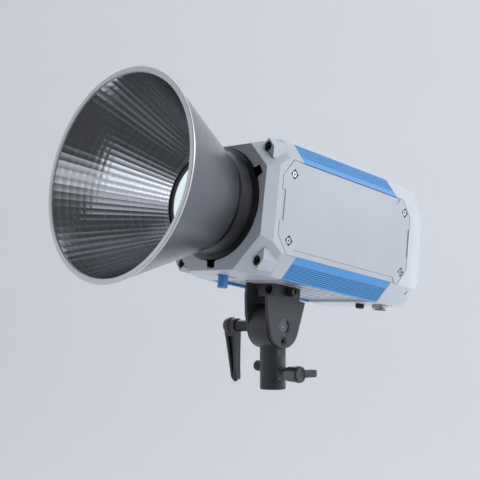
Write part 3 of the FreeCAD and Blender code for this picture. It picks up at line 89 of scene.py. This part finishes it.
# ---------------------------------------------------------------- materials
class Mat:
    """A node material built step by step; positions are the object's own, in metres."""

    def __init__(self, name, in_head=False):
        self.material = bpy.data.materials.new(name)
        self.material.use_nodes = True
        self.tree = self.material.node_tree
        self.tree.nodes.clear()
        self.output = self.tree.nodes.new("ShaderNodeOutputMaterial")
        self.shader = self.tree.nodes.new("ShaderNodeBsdfPrincipled")
        self.link(self.shader.outputs[0], self.output.inputs[0])
        self.where = self.tree.nodes.new("ShaderNodeTexCoord").outputs["Object"]
        if in_head:
            self.where = self.placed(TILT, PIVOT_IN_HEAD - Matrix.Rotation(TILT, 3, "X") @ PIVOT)

    def link(self, source, target):
        self.tree.links.new(source, target)

    def add(self, kind, **settings):
        made = self.tree.nodes.new("ShaderNode" + kind)
        for key, value in settings.items():
            setattr(made, key, value)
        return made

    def scaled(self, x, y, z):
        mapping = self.add("Mapping")
        mapping.inputs["Scale"].default_value = (x, y, z)
        self.link(self.where, mapping.inputs["Vector"])
        return mapping.outputs[0]

    def placed(self, turn, shift):
        """Positions turned about X, then shifted: the head's own frame."""
        mapping = self.add("Mapping")
        mapping.inputs["Rotation"].default_value = (turn, 0, 0)
        mapping.inputs["Location"].default_value = shift
        self.link(self.where, mapping.inputs["Vector"])
        return mapping.outputs[0]

    def axes(self):
        """The x, y and z of a position, as three sockets."""
        split = self.add("SeparateXYZ")
        self.link(self.where, split.inputs[0])
        return split.outputs[0], split.outputs[1], split.outputs[2]

    def distance(self, first, second):
        """How far from the axis a point with these two coordinates is."""
        total = self.math("ADD", self.math("MULTIPLY", first, first),
                          self.math("MULTIPLY", second, second))
        return self.math("SQRT", total)

    def below(self, value, limit):
        return self.math("LESS_THAN", value, limit)

    def above(self, value, limit):
        return self.math("GREATER_THAN", value, limit)

    def both(self, first, second):
        return self.math("MULTIPLY", first, second)

    def noise(self, scale, detail=3.0, roughness=0.55, stretch=(1, 1, 1)):
        made = self.add("TexNoise")
        made.inputs["Scale"].default_value = scale
        made.inputs["Detail"].default_value = detail
        made.inputs["Roughness"].default_value = roughness
        self.link(self.scaled(*stretch), made.inputs["Vector"])
        return made.outputs["Fac"]

    def ramp(self, value, stops):
        """A grey level that changes between two stops, each a position and a level."""
        made = self.add("ValToRGB")
        for element, (position, level) in zip(made.color_ramp.elements, stops):
            element.position = position
            element.color = (level, level, level, 1.0)
        self.link(value, made.inputs[0])
        return made.outputs["Color"]

    def mix(self, factor, first, second):
        made = self.add("Mix", data_type="RGBA")
        for socket, value in ((made.inputs["Factor"], factor), (made.inputs["A"], first),
                              (made.inputs["B"], second)):
            if isinstance(value, (int, float)):
                socket.default_value = value
            elif isinstance(value, tuple):
                socket.default_value = value + (1.0,)
            else:
                self.link(value, socket)
        return made.outputs["Result"]

    def math(self, operation, first, second=0.0):
        made = self.add("Math", operation=operation)
        for socket, value in zip(made.inputs, (first, second)):
            if isinstance(value, (int, float)):
                socket.default_value = value
            else:
                self.link(value, socket)
        return made.outputs[0]

    def edges(self, radius):
        """1 near sharp edges, 0 on flat faces."""
        rounded = self.add("Bevel", samples=3)
        rounded.inputs["Radius"].default_value = radius
        geometry = self.add("NewGeometry")
        dot = self.add("VectorMath", operation="DOT_PRODUCT")
        self.link(rounded.outputs[0], dot.inputs[0])
        self.link(geometry.outputs["Normal"], dot.inputs[1])
        return self.ramp(dot.outputs["Value"], [(0.80, 1.0), (0.985, 0.0)])

    def bump(self, height, strength, distance, radius=0.0):
        made = self.add("Bump")
        made.inputs["Strength"].default_value = strength
        made.inputs["Distance"].default_value = distance
        self.link(height, made.inputs["Height"])
        if radius:
            rounded = self.add("Bevel", samples=3)
            rounded.inputs["Radius"].default_value = radius
            self.link(rounded.outputs[0], made.inputs["Normal"])
        self.link(made.outputs[0], self.shader.inputs["Normal"])

    def set(self, **values):
        names = {"colour": "Base Color", "rough": "Roughness", "metal": "Metallic",
                 "coat": "Coat Weight", "coat_rough": "Coat Roughness",
                 "glow": "Emission Color", "glow_strength": "Emission Strength"}
        for key, value in values.items():
            socket = self.shader.inputs[names[key]]
            if isinstance(value, (int, float)):
                socket.default_value = value
            elif isinstance(value, tuple):
                socket.default_value = value + (1.0,)
            else:
                self.link(value, socket)


def rgb(red, green, blue):
    """A display colour, 0 to 255, as linear values."""
    def linear(value):
        value /= 255.0
        return value / 12.92 if value <= 0.04045 else ((value + 0.055) / 1.055) ** 2.4
    return (linear(red), linear(green), linear(blue))


def scale_colour(colour, factor):
    return tuple(min(1.0, channel * factor) for channel in colour)


WHITE = rgb(190, 195, 201)
PANEL = rgb(187, 192, 197)
BLUE = rgb(82, 156, 218)
IN_SHADOW = rgb(26, 26, 28)
BARE_LIP = (0.62, 0.65, 0.64)
BRASS_END = (0.80, 0.68, 0.42)


def painted(name, colour, rough=0.42, grain=2600.0, depth=0.00003, edge=0.00035, wear=1.25,
            dirt=0.93, shade_where=None):
    """Paint or powder coat: fine orange peel, slow shade drift, edges rubbed a little lighter, and
    painted shade where the given mask marks.
    """
    m = Mat(name, in_head=shade_where is not None)
    drift = m.noise(14.0, 4.0)
    base = m.mix(m.ramp(drift, [(0.35, 0.0), (0.7, 1.0)]), scale_colour(colour, dirt), colour)
    worn = m.mix(m.edges(edge), base, scale_colour(colour, wear))
    # Painted shade: the places the mask marks take the IN_SHADOW colour, so worn then holds painted
    # shade as well as wear.
    if shade_where:
        worn = m.mix(shade_where(m), worn, IN_SHADOW)
    peel = m.noise(grain, 2.0)
    patches = m.ramp(m.noise(60.0, 5.0), [(0.3, rough - 0.05), (0.7, rough + 0.06)])
    m.set(colour=worn, rough=patches)
    m.bump(peel, 0.35, depth, edge)
    return m.material


def moulded(name, colour, rough=0.5, grain=3800.0, depth=0.00004, edge=0.0003):
    """Moulded plastic: a fine spark-eroded grain, soft sheen and slightly polished edges."""
    m = Mat(name)
    cells = m.add("TexVoronoi")
    cells.inputs["Scale"].default_value = grain
    m.link(m.where, cells.inputs["Vector"])
    base = m.mix(m.noise(25.0, 4.0), scale_colour(colour, 0.85), scale_colour(colour, 1.12))
    worn = m.mix(m.edges(edge), base, scale_colour(colour, 1.9))
    m.set(colour=worn,
          rough=m.ramp(m.noise(90.0, 4.0), [(0.3, rough - 0.07), (0.75, rough + 0.08)]))
    m.bump(cells.outputs["Distance"], 0.3, depth, edge)
    return m.material


def machined(name, colour, rough=0.3, stretch=(1, 1, 40), scale=900.0, edge=0.0002):
    """Bare metal with fine tool lines."""
    m = Mat(name)
    lines = m.noise(scale, 3.0, 0.6, stretch)
    smear = m.noise(70.0, 5.0)
    base = m.mix(smear, scale_colour(colour, 0.86), colour)
    bright = m.mix(m.edges(edge), base, scale_colour(colour, 1.2))
    m.set(colour=bright, metal=1.0,
          rough=m.ramp(lines, [(0.25, max(0.05, rough - 0.08)), (0.8, rough + 0.12)]))
    m.bump(lines, 0.12, 0.00001, edge)
    return m.material


def in_groove(m):
    """1 inside the lengthwise grooves of a corner rail, below its slanted face."""
    x, _, z = m.axes()
    side, flat = RAIL_SIDE_EDGE, RAIL_FLAT_EDGE
    run = math.hypot(side[0] - flat[0], flat[1] - side[1])
    normal = ((flat[1] - side[1]) / run, (side[0] - flat[0]) / run)
    face = normal[0] * side[0] + normal[1] * side[1]
    across = m.math("MULTIPLY", m.math("ABSOLUTE", x), normal[0])
    high = m.math("MULTIPLY", m.math("ABSOLUTE", z), normal[1])
    depth = m.math("SUBTRACT", face, m.math("ADD", across, high))
    return m.both(m.above(depth, GROOVE_START), m.below(depth, GROOVE_END))


def anodised(name, colour):
    """An anodised extrusion: satin, with draw lines along its length, and painted shade in its
    grooves.
    """
    m = Mat(name, in_head=True)
    lines = m.noise(900.0, 2.0, 0.5, (1, 0.001, 1))
    base = m.mix(m.noise(22.0, 4.0), scale_colour(colour, 0.93), scale_colour(colour, 1.06))
    # Painted shade: the grooves take a much darker copy of the blue.
    groove_shaded = m.mix(in_groove(m), base, scale_colour(colour, 0.38))
    m.set(colour=groove_shaded, metal=0.2, rough=m.ramp(lines, [(0.3, 0.36), (0.75, 0.46)]))
    m.bump(lines, 0.05, 0.00001)
    return m.material


def spun(name, colour, rough, metal, lines=900.0, depth=0.00002, edge=0.0003, bare_where=None):
    """A turned or spun surface: rings around the light's axis, with a slow cloudiness over them."""
    m = Mat(name, in_head=True)
    rings = m.noise(lines, 3.0, 0.6, (0.004, 1, 0.004))
    cloud = m.noise(20.0, 4.0)
    base = m.mix(cloud, scale_colour(colour, 0.9), scale_colour(colour, 1.06))
    worn = m.mix(m.edges(edge), base, scale_colour(colour, 1.7))
    if bare_where:
        worn = m.mix(bare_where(m), worn, BARE_LIP)
    m.set(colour=worn, metal=metal,
          rough=m.ramp(rings, [(0.3, rough - 0.05), (0.75, rough + 0.07)]))
    m.bump(rings, 0.25, depth, edge)
    return m.material


def inside_opening(m):
    """The bayonet's opening, slots and channel, and the bores of the corner screws, are dark with
    painted shade.

    The opening's radius also takes in a little of the bezel's outer face, where that comes near it.
    """
    x, y, z = m.axes()
    mouth = m.both(m.below(m.distance(x, z), OPENING_RADIUS), m.above(y, OPENING_START))
    across = m.math("SUBTRACT", m.math("ABSOLUTE", x), BORE_SIDE)
    high = m.math("SUBTRACT", m.math("ABSOLUTE", z), BORE_HEIGHT)
    bore = m.both(m.below(m.distance(across, high), BORE_RADIUS), m.above(y, BORE_START))
    return m.math("MAXIMUM", m.both(mouth, m.below(y, OPENING_END)),
                  m.both(bore, m.below(y, BORE_END)))


def inside_slats(m):
    """The walls of the grilles' slots, just under their outer faces, are in the dark."""
    _, _, z = m.axes()
    return m.below(m.math("ABSOLUTE", z), GRILLE_FACE - SLAT_SHADOW)


def on_lip(m):
    """The reflector's lip is bare metal."""
    _, y, _ = m.axes()
    return m.below(y, LIP_BACK)


def diamond_recess(m):
    """The floors of the screw recesses in the side panels are dark with painted shade."""
    x, _, _ = m.axes()
    return m.below(m.math("ABSOLUTE", x), RECESS_FLOOR)


MATERIALS = {
    "white_paint": painted("white_paint", WHITE, 0.45, shade_where=inside_opening),
    # The same white paint made lighter for the rear housing: painted light.
    "rear_paint_with_painted_light": painted("rear_paint_with_painted_light", rgb(208, 213, 218), 0.45, shade_where=inside_opening),
    "panel_paint": painted("panel_paint", PANEL, 0.38, depth=0.00002, shade_where=diamond_recess),
    "blue_anodised": anodised("blue_anodised", BLUE),
    "black_steel": painted("black_steel", rgb(30, 30, 32), 0.35, wear=2.2, edge=0.00025),
    "dark_bracket": painted("dark_bracket", rgb(57, 58, 62), 0.42, grain=1800.0, depth=0.00006,
                            wear=1.7),
    "steel": machined("steel", (0.60, 0.61, 0.62)),
    "dark_steel": machined("dark_steel", (0.06, 0.06, 0.065), 0.32),
    "dark_chrome": machined("dark_chrome", (0.13, 0.13, 0.14), 0.13, (1, 1, 1), 300.0),
    "grille_paint": painted("grille_paint", WHITE, 0.45, shade_where=inside_slats),
    "dull_fins": machined("dull_fins", (0.22, 0.22, 0.23), 0.45, (1, 40, 1)),
    "black_plastic": moulded("black_plastic", rgb(36, 37, 39)),
    "blue_plastic": moulded("blue_plastic", rgb(72, 132, 196), 0.35),
    "heat_sink": machined("heat_sink", (0.72, 0.73, 0.74), 0.35, (1, 40, 1)),
    "copper": machined("copper", (0.85, 0.48, 0.31), 0.22, (1, 0.1, 1), 500.0),
    "pad_brass": machined("pad_brass", (0.80, 0.62, 0.30), 0.28),
    "board": painted("board", rgb(22, 92, 58), 0.3, grain=900.0, wear=1.4),
    "component": moulded("component", rgb(52, 52, 58), 0.45),
    "reflector_grey": spun("reflector_grey", rgb(98, 101, 107), 0.34, 0.75, bare_where=on_lip),
    "ring_black": spun("ring_black", rgb(17, 17, 19), 0.30, 0.0, 1400.0, 0.00004),
    "mirror": spun("mirror", (0.86, 0.87, 0.89), 0.12, 1.0, 300.0, 0.000004),
}


def cover_material():
    """The milky cover in front of the emitter, with a painted glow as if it were lit."""
    m = Mat("frosted_cover")
    milk = m.mix(m.noise(40.0, 3.0), rgb(222, 232, 236), rgb(236, 243, 245))
    # Painted glow: the cover gives off light of its own, though it is no lamp.
    m.set(colour=milk, rough=0.32, coat=0.4, coat_rough=0.2,
          glow=rgb(222, 236, 240), glow_strength=0.85)
    m.bump(m.noise(1800.0, 2.0), 0.2, 0.00003)
    return m.material


def emitter_material():
    """The field of small yellow chips under the cover."""
    m = Mat("emitter")
    dots = m.add("TexVoronoi")
    dots.inputs["Scale"].default_value = 700.0
    m.link(m.where, dots.inputs["Vector"])
    between = m.ramp(dots.outputs["Distance"], [(0.3, 0.0), (0.5, 1.0)])
    m.set(colour=m.mix(between, rgb(235, 205, 90), rgb(214, 182, 70)), rough=0.4, coat=0.5)
    m.bump(dots.outputs["Distance"], 0.3, 0.0001)
    return m.material


def display_material():
    """The glossy dark window over the display."""
    m = Mat("display")
    m.set(colour=m.mix(m.noise(30.0), rgb(14, 16, 20), rgb(24, 27, 32)), rough=0.08,
          coat=1.0, coat_rough=0.04)
    m.bump(m.noise(400.0), 0.05, 0.00001, 0.0003)
    return m.material


def screw_knob_material():
    """A black knob moulded over a brass screw, whose end shows in the middle."""
    m = Mat("screw_knob")
    _, y, z = m.axes()
    middle = m.distance(m.math("SUBTRACT", y, UMBRELLA_AXIS[0]),
                        m.math("SUBTRACT", z, UMBRELLA_AXIS[1]))
    brass = m.below(middle, SCREW_END_RADIUS)
    black = m.mix(m.noise(25.0, 4.0), rgb(30, 30, 32), rgb(40, 41, 43))
    m.set(colour=m.mix(brass, black, BRASS_END), metal=brass,
          rough=m.ramp(m.noise(90.0, 4.0), [(0.3, 0.3), (0.75, 0.45)]))
    m.bump(m.noise(2600.0, 2.0), 0.3, 0.00003, 0.0003)
    return m.material


MATERIALS["screw_knob"] = screw_knob_material()
MATERIALS["frosted_cover"] = cover_material()
MATERIALS["emitter"] = emitter_material()
MATERIALS["display"] = display_material()


def dress(obj, material):
    """Give the whole of a node one material."""
    obj.data.materials.clear()
    obj.data.materials.append(material)
    for polygon in obj.data.polygons:
        polygon.material_index = 0


# Nodes whose finish isn't the one of their material in the record.
OWN_FINISH = {
    # The rear housing's lighter copy of the white paint is painted light.
    "rear_housing": "rear_paint_with_painted_light", "lever_sleeve": "dark_steel", "lever_retainer": "dark_steel",
    "lock_pin": "dark_steel", "side_panel_screws": "steel", "power_inlet": "steel",
    # The chassis tray gets dark steel as painted shade behind the grilles' slots.
    "chassis_tray": "dark_steel", "umbrella_knob": "screw_knob", "pivot_axle": "dark_chrome",
    "bottom_grille": "grille_paint", "top_grille": "grille_paint", "cooling_fins": "dull_fins",
    "reflector_ring": "ring_black", "glass_retainer": "ring_black",
}

for part in frame["record"]["subparts"]:
    finish = OWN_FINISH.get(part["node"], part["material_slot"])
    dress(NODES[part["node"]], MATERIALS[finish])

# ---------------------------------------------------------------- softened edges
WELD_DISTANCE = 0.000004
SHARP_ANGLE = math.radians(28)
# Widths in mm.
SOFT_EDGES = {
    "front_bezel": 0.5, "rear_housing": 0.6, "side_panel_right": 0.3, "side_panel_left": 0.3,
    "tilt_yoke": 0.4, "stand_socket": 0.25, "lever_handle": 0.55, "socket_knob": 0.4,
    "tilt_mount_pad": 0.4, "release_knob": 0.3, "power_rocker": 0.3, "power_switch": 0.25,
    "control_panel": 0.15, "display_window": 0.2,
}


def soften(obj, width):
    """Weld the node's facets and round its sharp edges, width in mm."""
    weld = obj.modifiers.new("weld", "WELD")
    weld.merge_threshold = WELD_DISTANCE
    bevel = obj.modifiers.new("rounded_edges", "BEVEL")
    bevel.limit_method = "ANGLE"
    bevel.angle_limit = SHARP_ANGLE
    bevel.width = width / 1000.0
    bevel.segments = 3
    bevel.harden_normals = True
    bevel.use_clamp_overlap = True


for soft_node, soft_width in SOFT_EDGES.items():
    soften(NODES[soft_node], soft_width)


# ---------------------------------------------------------------- faceted mirror of the reflector
def mirror_cone():
    """The liner as pressed: flutes around it and rows that shrink towards the throat.

    Each facet is a shallow pillow, cut into steps both ways.
    """
    flutes = 78
    rows = 21
    steps = 3
    count = flutes * steps
    mouth_radius, mouth_depth = 0.0843, -0.1129
    throat_radius, throat_depth = 0.0409, -0.0198
    thickness = 0.0006
    # height of a pillow, as a share of its width, across a flute and along it
    swell_across, swell_along = 0.020, 0.008
    slope = (throat_depth - mouth_depth) / (mouth_radius - throat_radius)
    facet = 2 * math.pi / flutes
    shrink = (throat_radius / mouth_radius) ** (1.0 / rows)
    # unit vector out of the mirror face at angle 0, as (radius, depth)
    length = math.hypot(1.0, slope)
    lift = (-slope / length, -1.0 / length)

    mesh = bpy.data.meshes.new("reflector_mirror")
    build = bmesh.new()
    rings = []
    for line in range(rows * steps + 1):
        row, part = divmod(line, steps)
        outer = mouth_radius * shrink ** row
        inner = outer * shrink
        share = part / steps
        radius = outer + (inner - outer) * share
        depth = mouth_depth + (mouth_radius - radius) * slope
        ring = []
        for spoke in range(count):
            along = (spoke % steps) / steps
            swell = (4 * along * (1 - along) * swell_across
                     + 4 * share * (1 - share) * swell_along)
            bulge = swell * radius * facet
            # a chord between the flute's edges, then the pillow on top of it
            first = (spoke // steps) * facet
            chord = Vector((math.cos(first), math.sin(first))).lerp(
                Vector((math.cos(first + facet), math.sin(first + facet))), along)
            reach = radius * chord.length + bulge * lift[0]
            angle = math.atan2(chord.y, chord.x)
            place = (reach * math.cos(angle), depth + bulge * lift[1], reach * math.sin(angle))
            ring.append(build.verts.new(HEAD @ Vector(place)))
        rings.append(ring)
    for radius, depth in ((throat_radius + thickness, throat_depth),
                          (mouth_radius + thickness, mouth_depth)):
        ring = []
        for spoke in range(count):
            angle = spoke * facet / steps
            place = (radius * math.cos(angle), depth, radius * math.sin(angle))
            ring.append(build.verts.new(HEAD @ Vector(place)))
        rings.append(ring)
    for index in range(len(rings)):
        near, far = rings[index], rings[(index + 1) % len(rings)]
        for spoke in range(count):
            following = (spoke + 1) % count
            face = build.faces.new((near[spoke], near[following], far[following], far[spoke]))
            face.smooth = index < rows * steps
    bmesh.ops.recalc_face_normals(build, faces=build.faces)
    build.edges.ensure_lookup_table()
    for index in range(rows * steps + 1):
        for spoke in range(count):
            following = (spoke + 1) % count
            if index % steps == 0:
                build.edges.get((rings[index][spoke], rings[index][following])).smooth = False
            if spoke % steps == 0 and index < rows * steps:
                build.edges.get((rings[index][spoke], rings[index + 1][spoke])).smooth = False
    build.to_mesh(mesh)
    build.free()
    obj = bpy.data.objects.new("reflector_mirror", mesh)
    bpy.context.scene.collection.objects.link(obj)
    mesh.materials.append(MATERIALS["mirror"])
    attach(obj, "reflector")
    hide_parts("reflector_liner")


mirror_cone()

# ---------------------------------------------------------------- stage
CAMERA_AZIMUTH = math.radians(44.02)
CAMERA_RISE = math.radians(3.28)
FOCAL = 77.2
DISTANCE = 0.8978
OFFSET_RIGHT = -0.0201
OFFSET_DOWN = -0.0313
# The backdrop: a floor, a quarter round in steps of so many degrees, and a wall.
SWEEP_HALF_WIDTH = 14.0
SWEEP_FRONT = -14.0
BEND_START = 2.6
BEND_RADIUS = 1.2
BEND_STEPS = 12
BEND_STEP_ANGLE = 7.5
WALL_AT = 3.8
WALL_TOP = 9.0
FLOOR_HEIGHT = -0.75
BACKDROP_LEVEL = 0.72
LIT_MIDDLE = (0, 0.05, 0.16)
# Area lights: name, place, diameter and power in watts.
LIGHTS = (
    ("key", (0.95, 1.25, 0.7), 0.8, 5.0),
    ("fill", (-1.8, 0.9, 0.9), 1.2, 7.0),
    ("window", (-1.3, -1.9, 0.5), 0.5, 1.5),
)


def stage_material(name, colour):
    """Seamless paper, with painted shade that makes it a little darker towards the left."""
    m = Mat(name)
    x, _, _ = m.axes()
    # Painted shade: the paper darkens towards the left.
    across = m.ramp(m.math("ADD", m.math("MULTIPLY", x, 0.45), 0.5), [(0.0, 0.0), (1.0, 1.0)])
    m.set(colour=m.mix(across, scale_colour(colour, 0.86), colour), rough=0.85,
          glow=colour, glow_strength=0.14)
    m.bump(m.noise(90.0, 3.0), 0.05, 0.0004)
    return m.material


def sweep():
    """A pale floor that curves up into a plain backdrop behind the light."""
    mesh = bpy.data.meshes.new("studio_sweep")
    build = bmesh.new()
    profile = [(SWEEP_FRONT, 0.0), (BEND_START, 0.0)]
    for step in range(1, BEND_STEPS + 1):
        angle = math.radians(BEND_STEP_ANGLE * step)
        profile.append((BEND_START + BEND_RADIUS * math.sin(angle),
                        BEND_RADIUS - BEND_RADIUS * math.cos(angle)))
    profile.append((WALL_AT, WALL_TOP))
    rows = []
    for across in (-SWEEP_HALF_WIDTH, SWEEP_HALF_WIDTH):
        rows.append([build.verts.new((across, along, up)) for along, up in profile])
    for index in range(len(profile) - 1):
        face = build.faces.new((rows[0][index], rows[1][index],
                                rows[1][index + 1], rows[0][index + 1]))
        face.smooth = True
    build.to_mesh(mesh)
    build.free()
    obj = bpy.data.objects.new("studio_sweep", mesh)
    bpy.context.scene.collection.objects.link(obj)
    obj.location = (0, 0, FLOOR_HEIGHT)
    obj.rotation_euler = (0, 0, CAMERA_AZIMUTH)
    mesh.materials.append(stage_material("studio_paper", rgb(244, 245, 247)))
    obj.visible_glossy = False


def add_camera():
    """Look up at the head from in front and to its side; the offsets place the bezel's middle."""
    right = Vector((math.cos(CAMERA_AZIMUTH), math.sin(CAMERA_AZIMUTH), 0))
    ahead = Vector((-math.sin(CAMERA_AZIMUTH) * math.cos(CAMERA_RISE),
                    math.cos(CAMERA_AZIMUTH) * math.cos(CAMERA_RISE), math.sin(CAMERA_RISE)))
    down = ahead.cross(right)
    bezel = HEAD @ Vector((0, 0, 0))
    place = bezel - right * OFFSET_RIGHT - down * OFFSET_DOWN - ahead * DISTANCE
    data = bpy.data.cameras.new("camera")
    data.lens = FOCAL
    data.sensor_width = 36.0
    data.clip_start = 0.01
    camera = bpy.data.objects.new("camera", data)
    bpy.context.scene.collection.objects.link(camera)
    columns = Matrix((right, -down, -ahead)).transposed().to_4x4()
    camera.matrix_world = Matrix.Translation(place) @ columns
    bpy.context.scene.camera = camera


def add_area(name, place, size, power):
    """A round soft light that faces the middle of the part."""
    data = bpy.data.lights.new(name, "AREA")
    data.shape = "DISK"
    data.size = size
    data.energy = power
    lamp = bpy.data.objects.new(name, data)
    bpy.context.scene.collection.objects.link(lamp)
    lamp.location = place
    aim = Vector(LIT_MIDDLE) - Vector(place)
    lamp.rotation_euler = aim.to_track_quat("-Z", "Y").to_euler()


class World:
    """The surroundings: how bright each direction is, as light and as seen in polished metal."""

    def __init__(self, colour):
        world = bpy.data.worlds.new("studio")
        world.use_nodes = True
        self.tree = world.node_tree
        self.background = self.tree.nodes["Background"]
        self.background.inputs[0].default_value = colour + (1.0,)
        self.direction = self.tree.nodes.new("ShaderNodeTexCoord").outputs["Generated"]
        bpy.context.scene.world = world

    def lobe(self, towards, start, end, low, high):
        """A smooth change with the angle from a direction."""
        dot = self.tree.nodes.new("ShaderNodeVectorMath")
        dot.operation = "DOT_PRODUCT"
        self.tree.links.new(self.direction, dot.inputs[0])
        dot.inputs[1].default_value = Vector(towards).normalized()
        spread = self.tree.nodes.new("ShaderNodeMapRange")
        spread.interpolation_type = "SMOOTHSTEP"
        for socket, value in zip(spread.inputs[1:5], (start, end, low, high)):
            socket.default_value = value
        self.tree.links.new(dot.outputs["Value"], spread.inputs[0])
        return spread.outputs[0]

    def combine(self, operation, first, second):
        node = self.tree.nodes.new("ShaderNodeMath")
        node.operation = operation
        self.tree.links.new(first, node.inputs[0])
        self.tree.links.new(second, node.inputs[1])
        return node.outputs[0]

    def use(self, as_light, as_reflection, backdrop):
        """Glossy rays see one brightness, the camera a plain one; a third lights the rest."""
        path = self.tree.nodes.new("ShaderNodeLightPath")
        pick = self.tree.nodes.new("ShaderNodeMix")
        self.tree.links.new(path.outputs["Is Glossy Ray"], pick.inputs[0])
        self.tree.links.new(as_light, pick.inputs[2])
        self.tree.links.new(as_reflection, pick.inputs[3])
        plain = self.tree.nodes.new("ShaderNodeMix")
        self.tree.links.new(path.outputs["Is Camera Ray"], plain.inputs[0])
        self.tree.links.new(pick.outputs[0], plain.inputs[2])
        plain.inputs[3].default_value = backdrop
        self.tree.links.new(plain.outputs[0], self.background.inputs[1])


def add_world():
    """Even light, weaker from in front of the reflector; what metal sees has its own pattern.

    That pattern is dark above and below, with two small bright windows for sharp highlights.
    """
    world = World(rgb(228, 232, 241))
    light = world.lobe((-0.25, -1.0, 0.1), -0.2, 0.5, 1.95, 0.06)
    seen = world.lobe((-0.3, 1.0, 0.0), -0.35, 0.75, 0.66, 1.35)
    for dark in ((0.45, -0.55, 0.70), (0.45, -0.50, -0.72)):
        seen = world.combine("MULTIPLY", seen, world.lobe(dark, 0.55, 0.86, 1.0, 0.10))
    for bright, width in (((0.99, -0.06, 0.08), 0.010), ((-0.45, -0.85, 0.20), 0.006)):
        window = world.lobe(bright, 1.0 - width, 1.0 - width / 3, 0.0, 1.6)
        seen = world.combine("ADD", seen, window)
    world.use(light, seen, BACKDROP_LEVEL)


add_camera()
sweep()
add_world()
for light_name, light_place, light_size, light_power in LIGHTS:
    add_area(light_name, light_place, light_size, light_power)
bpy.context.scene.view_settings.view_transform = "Standard"
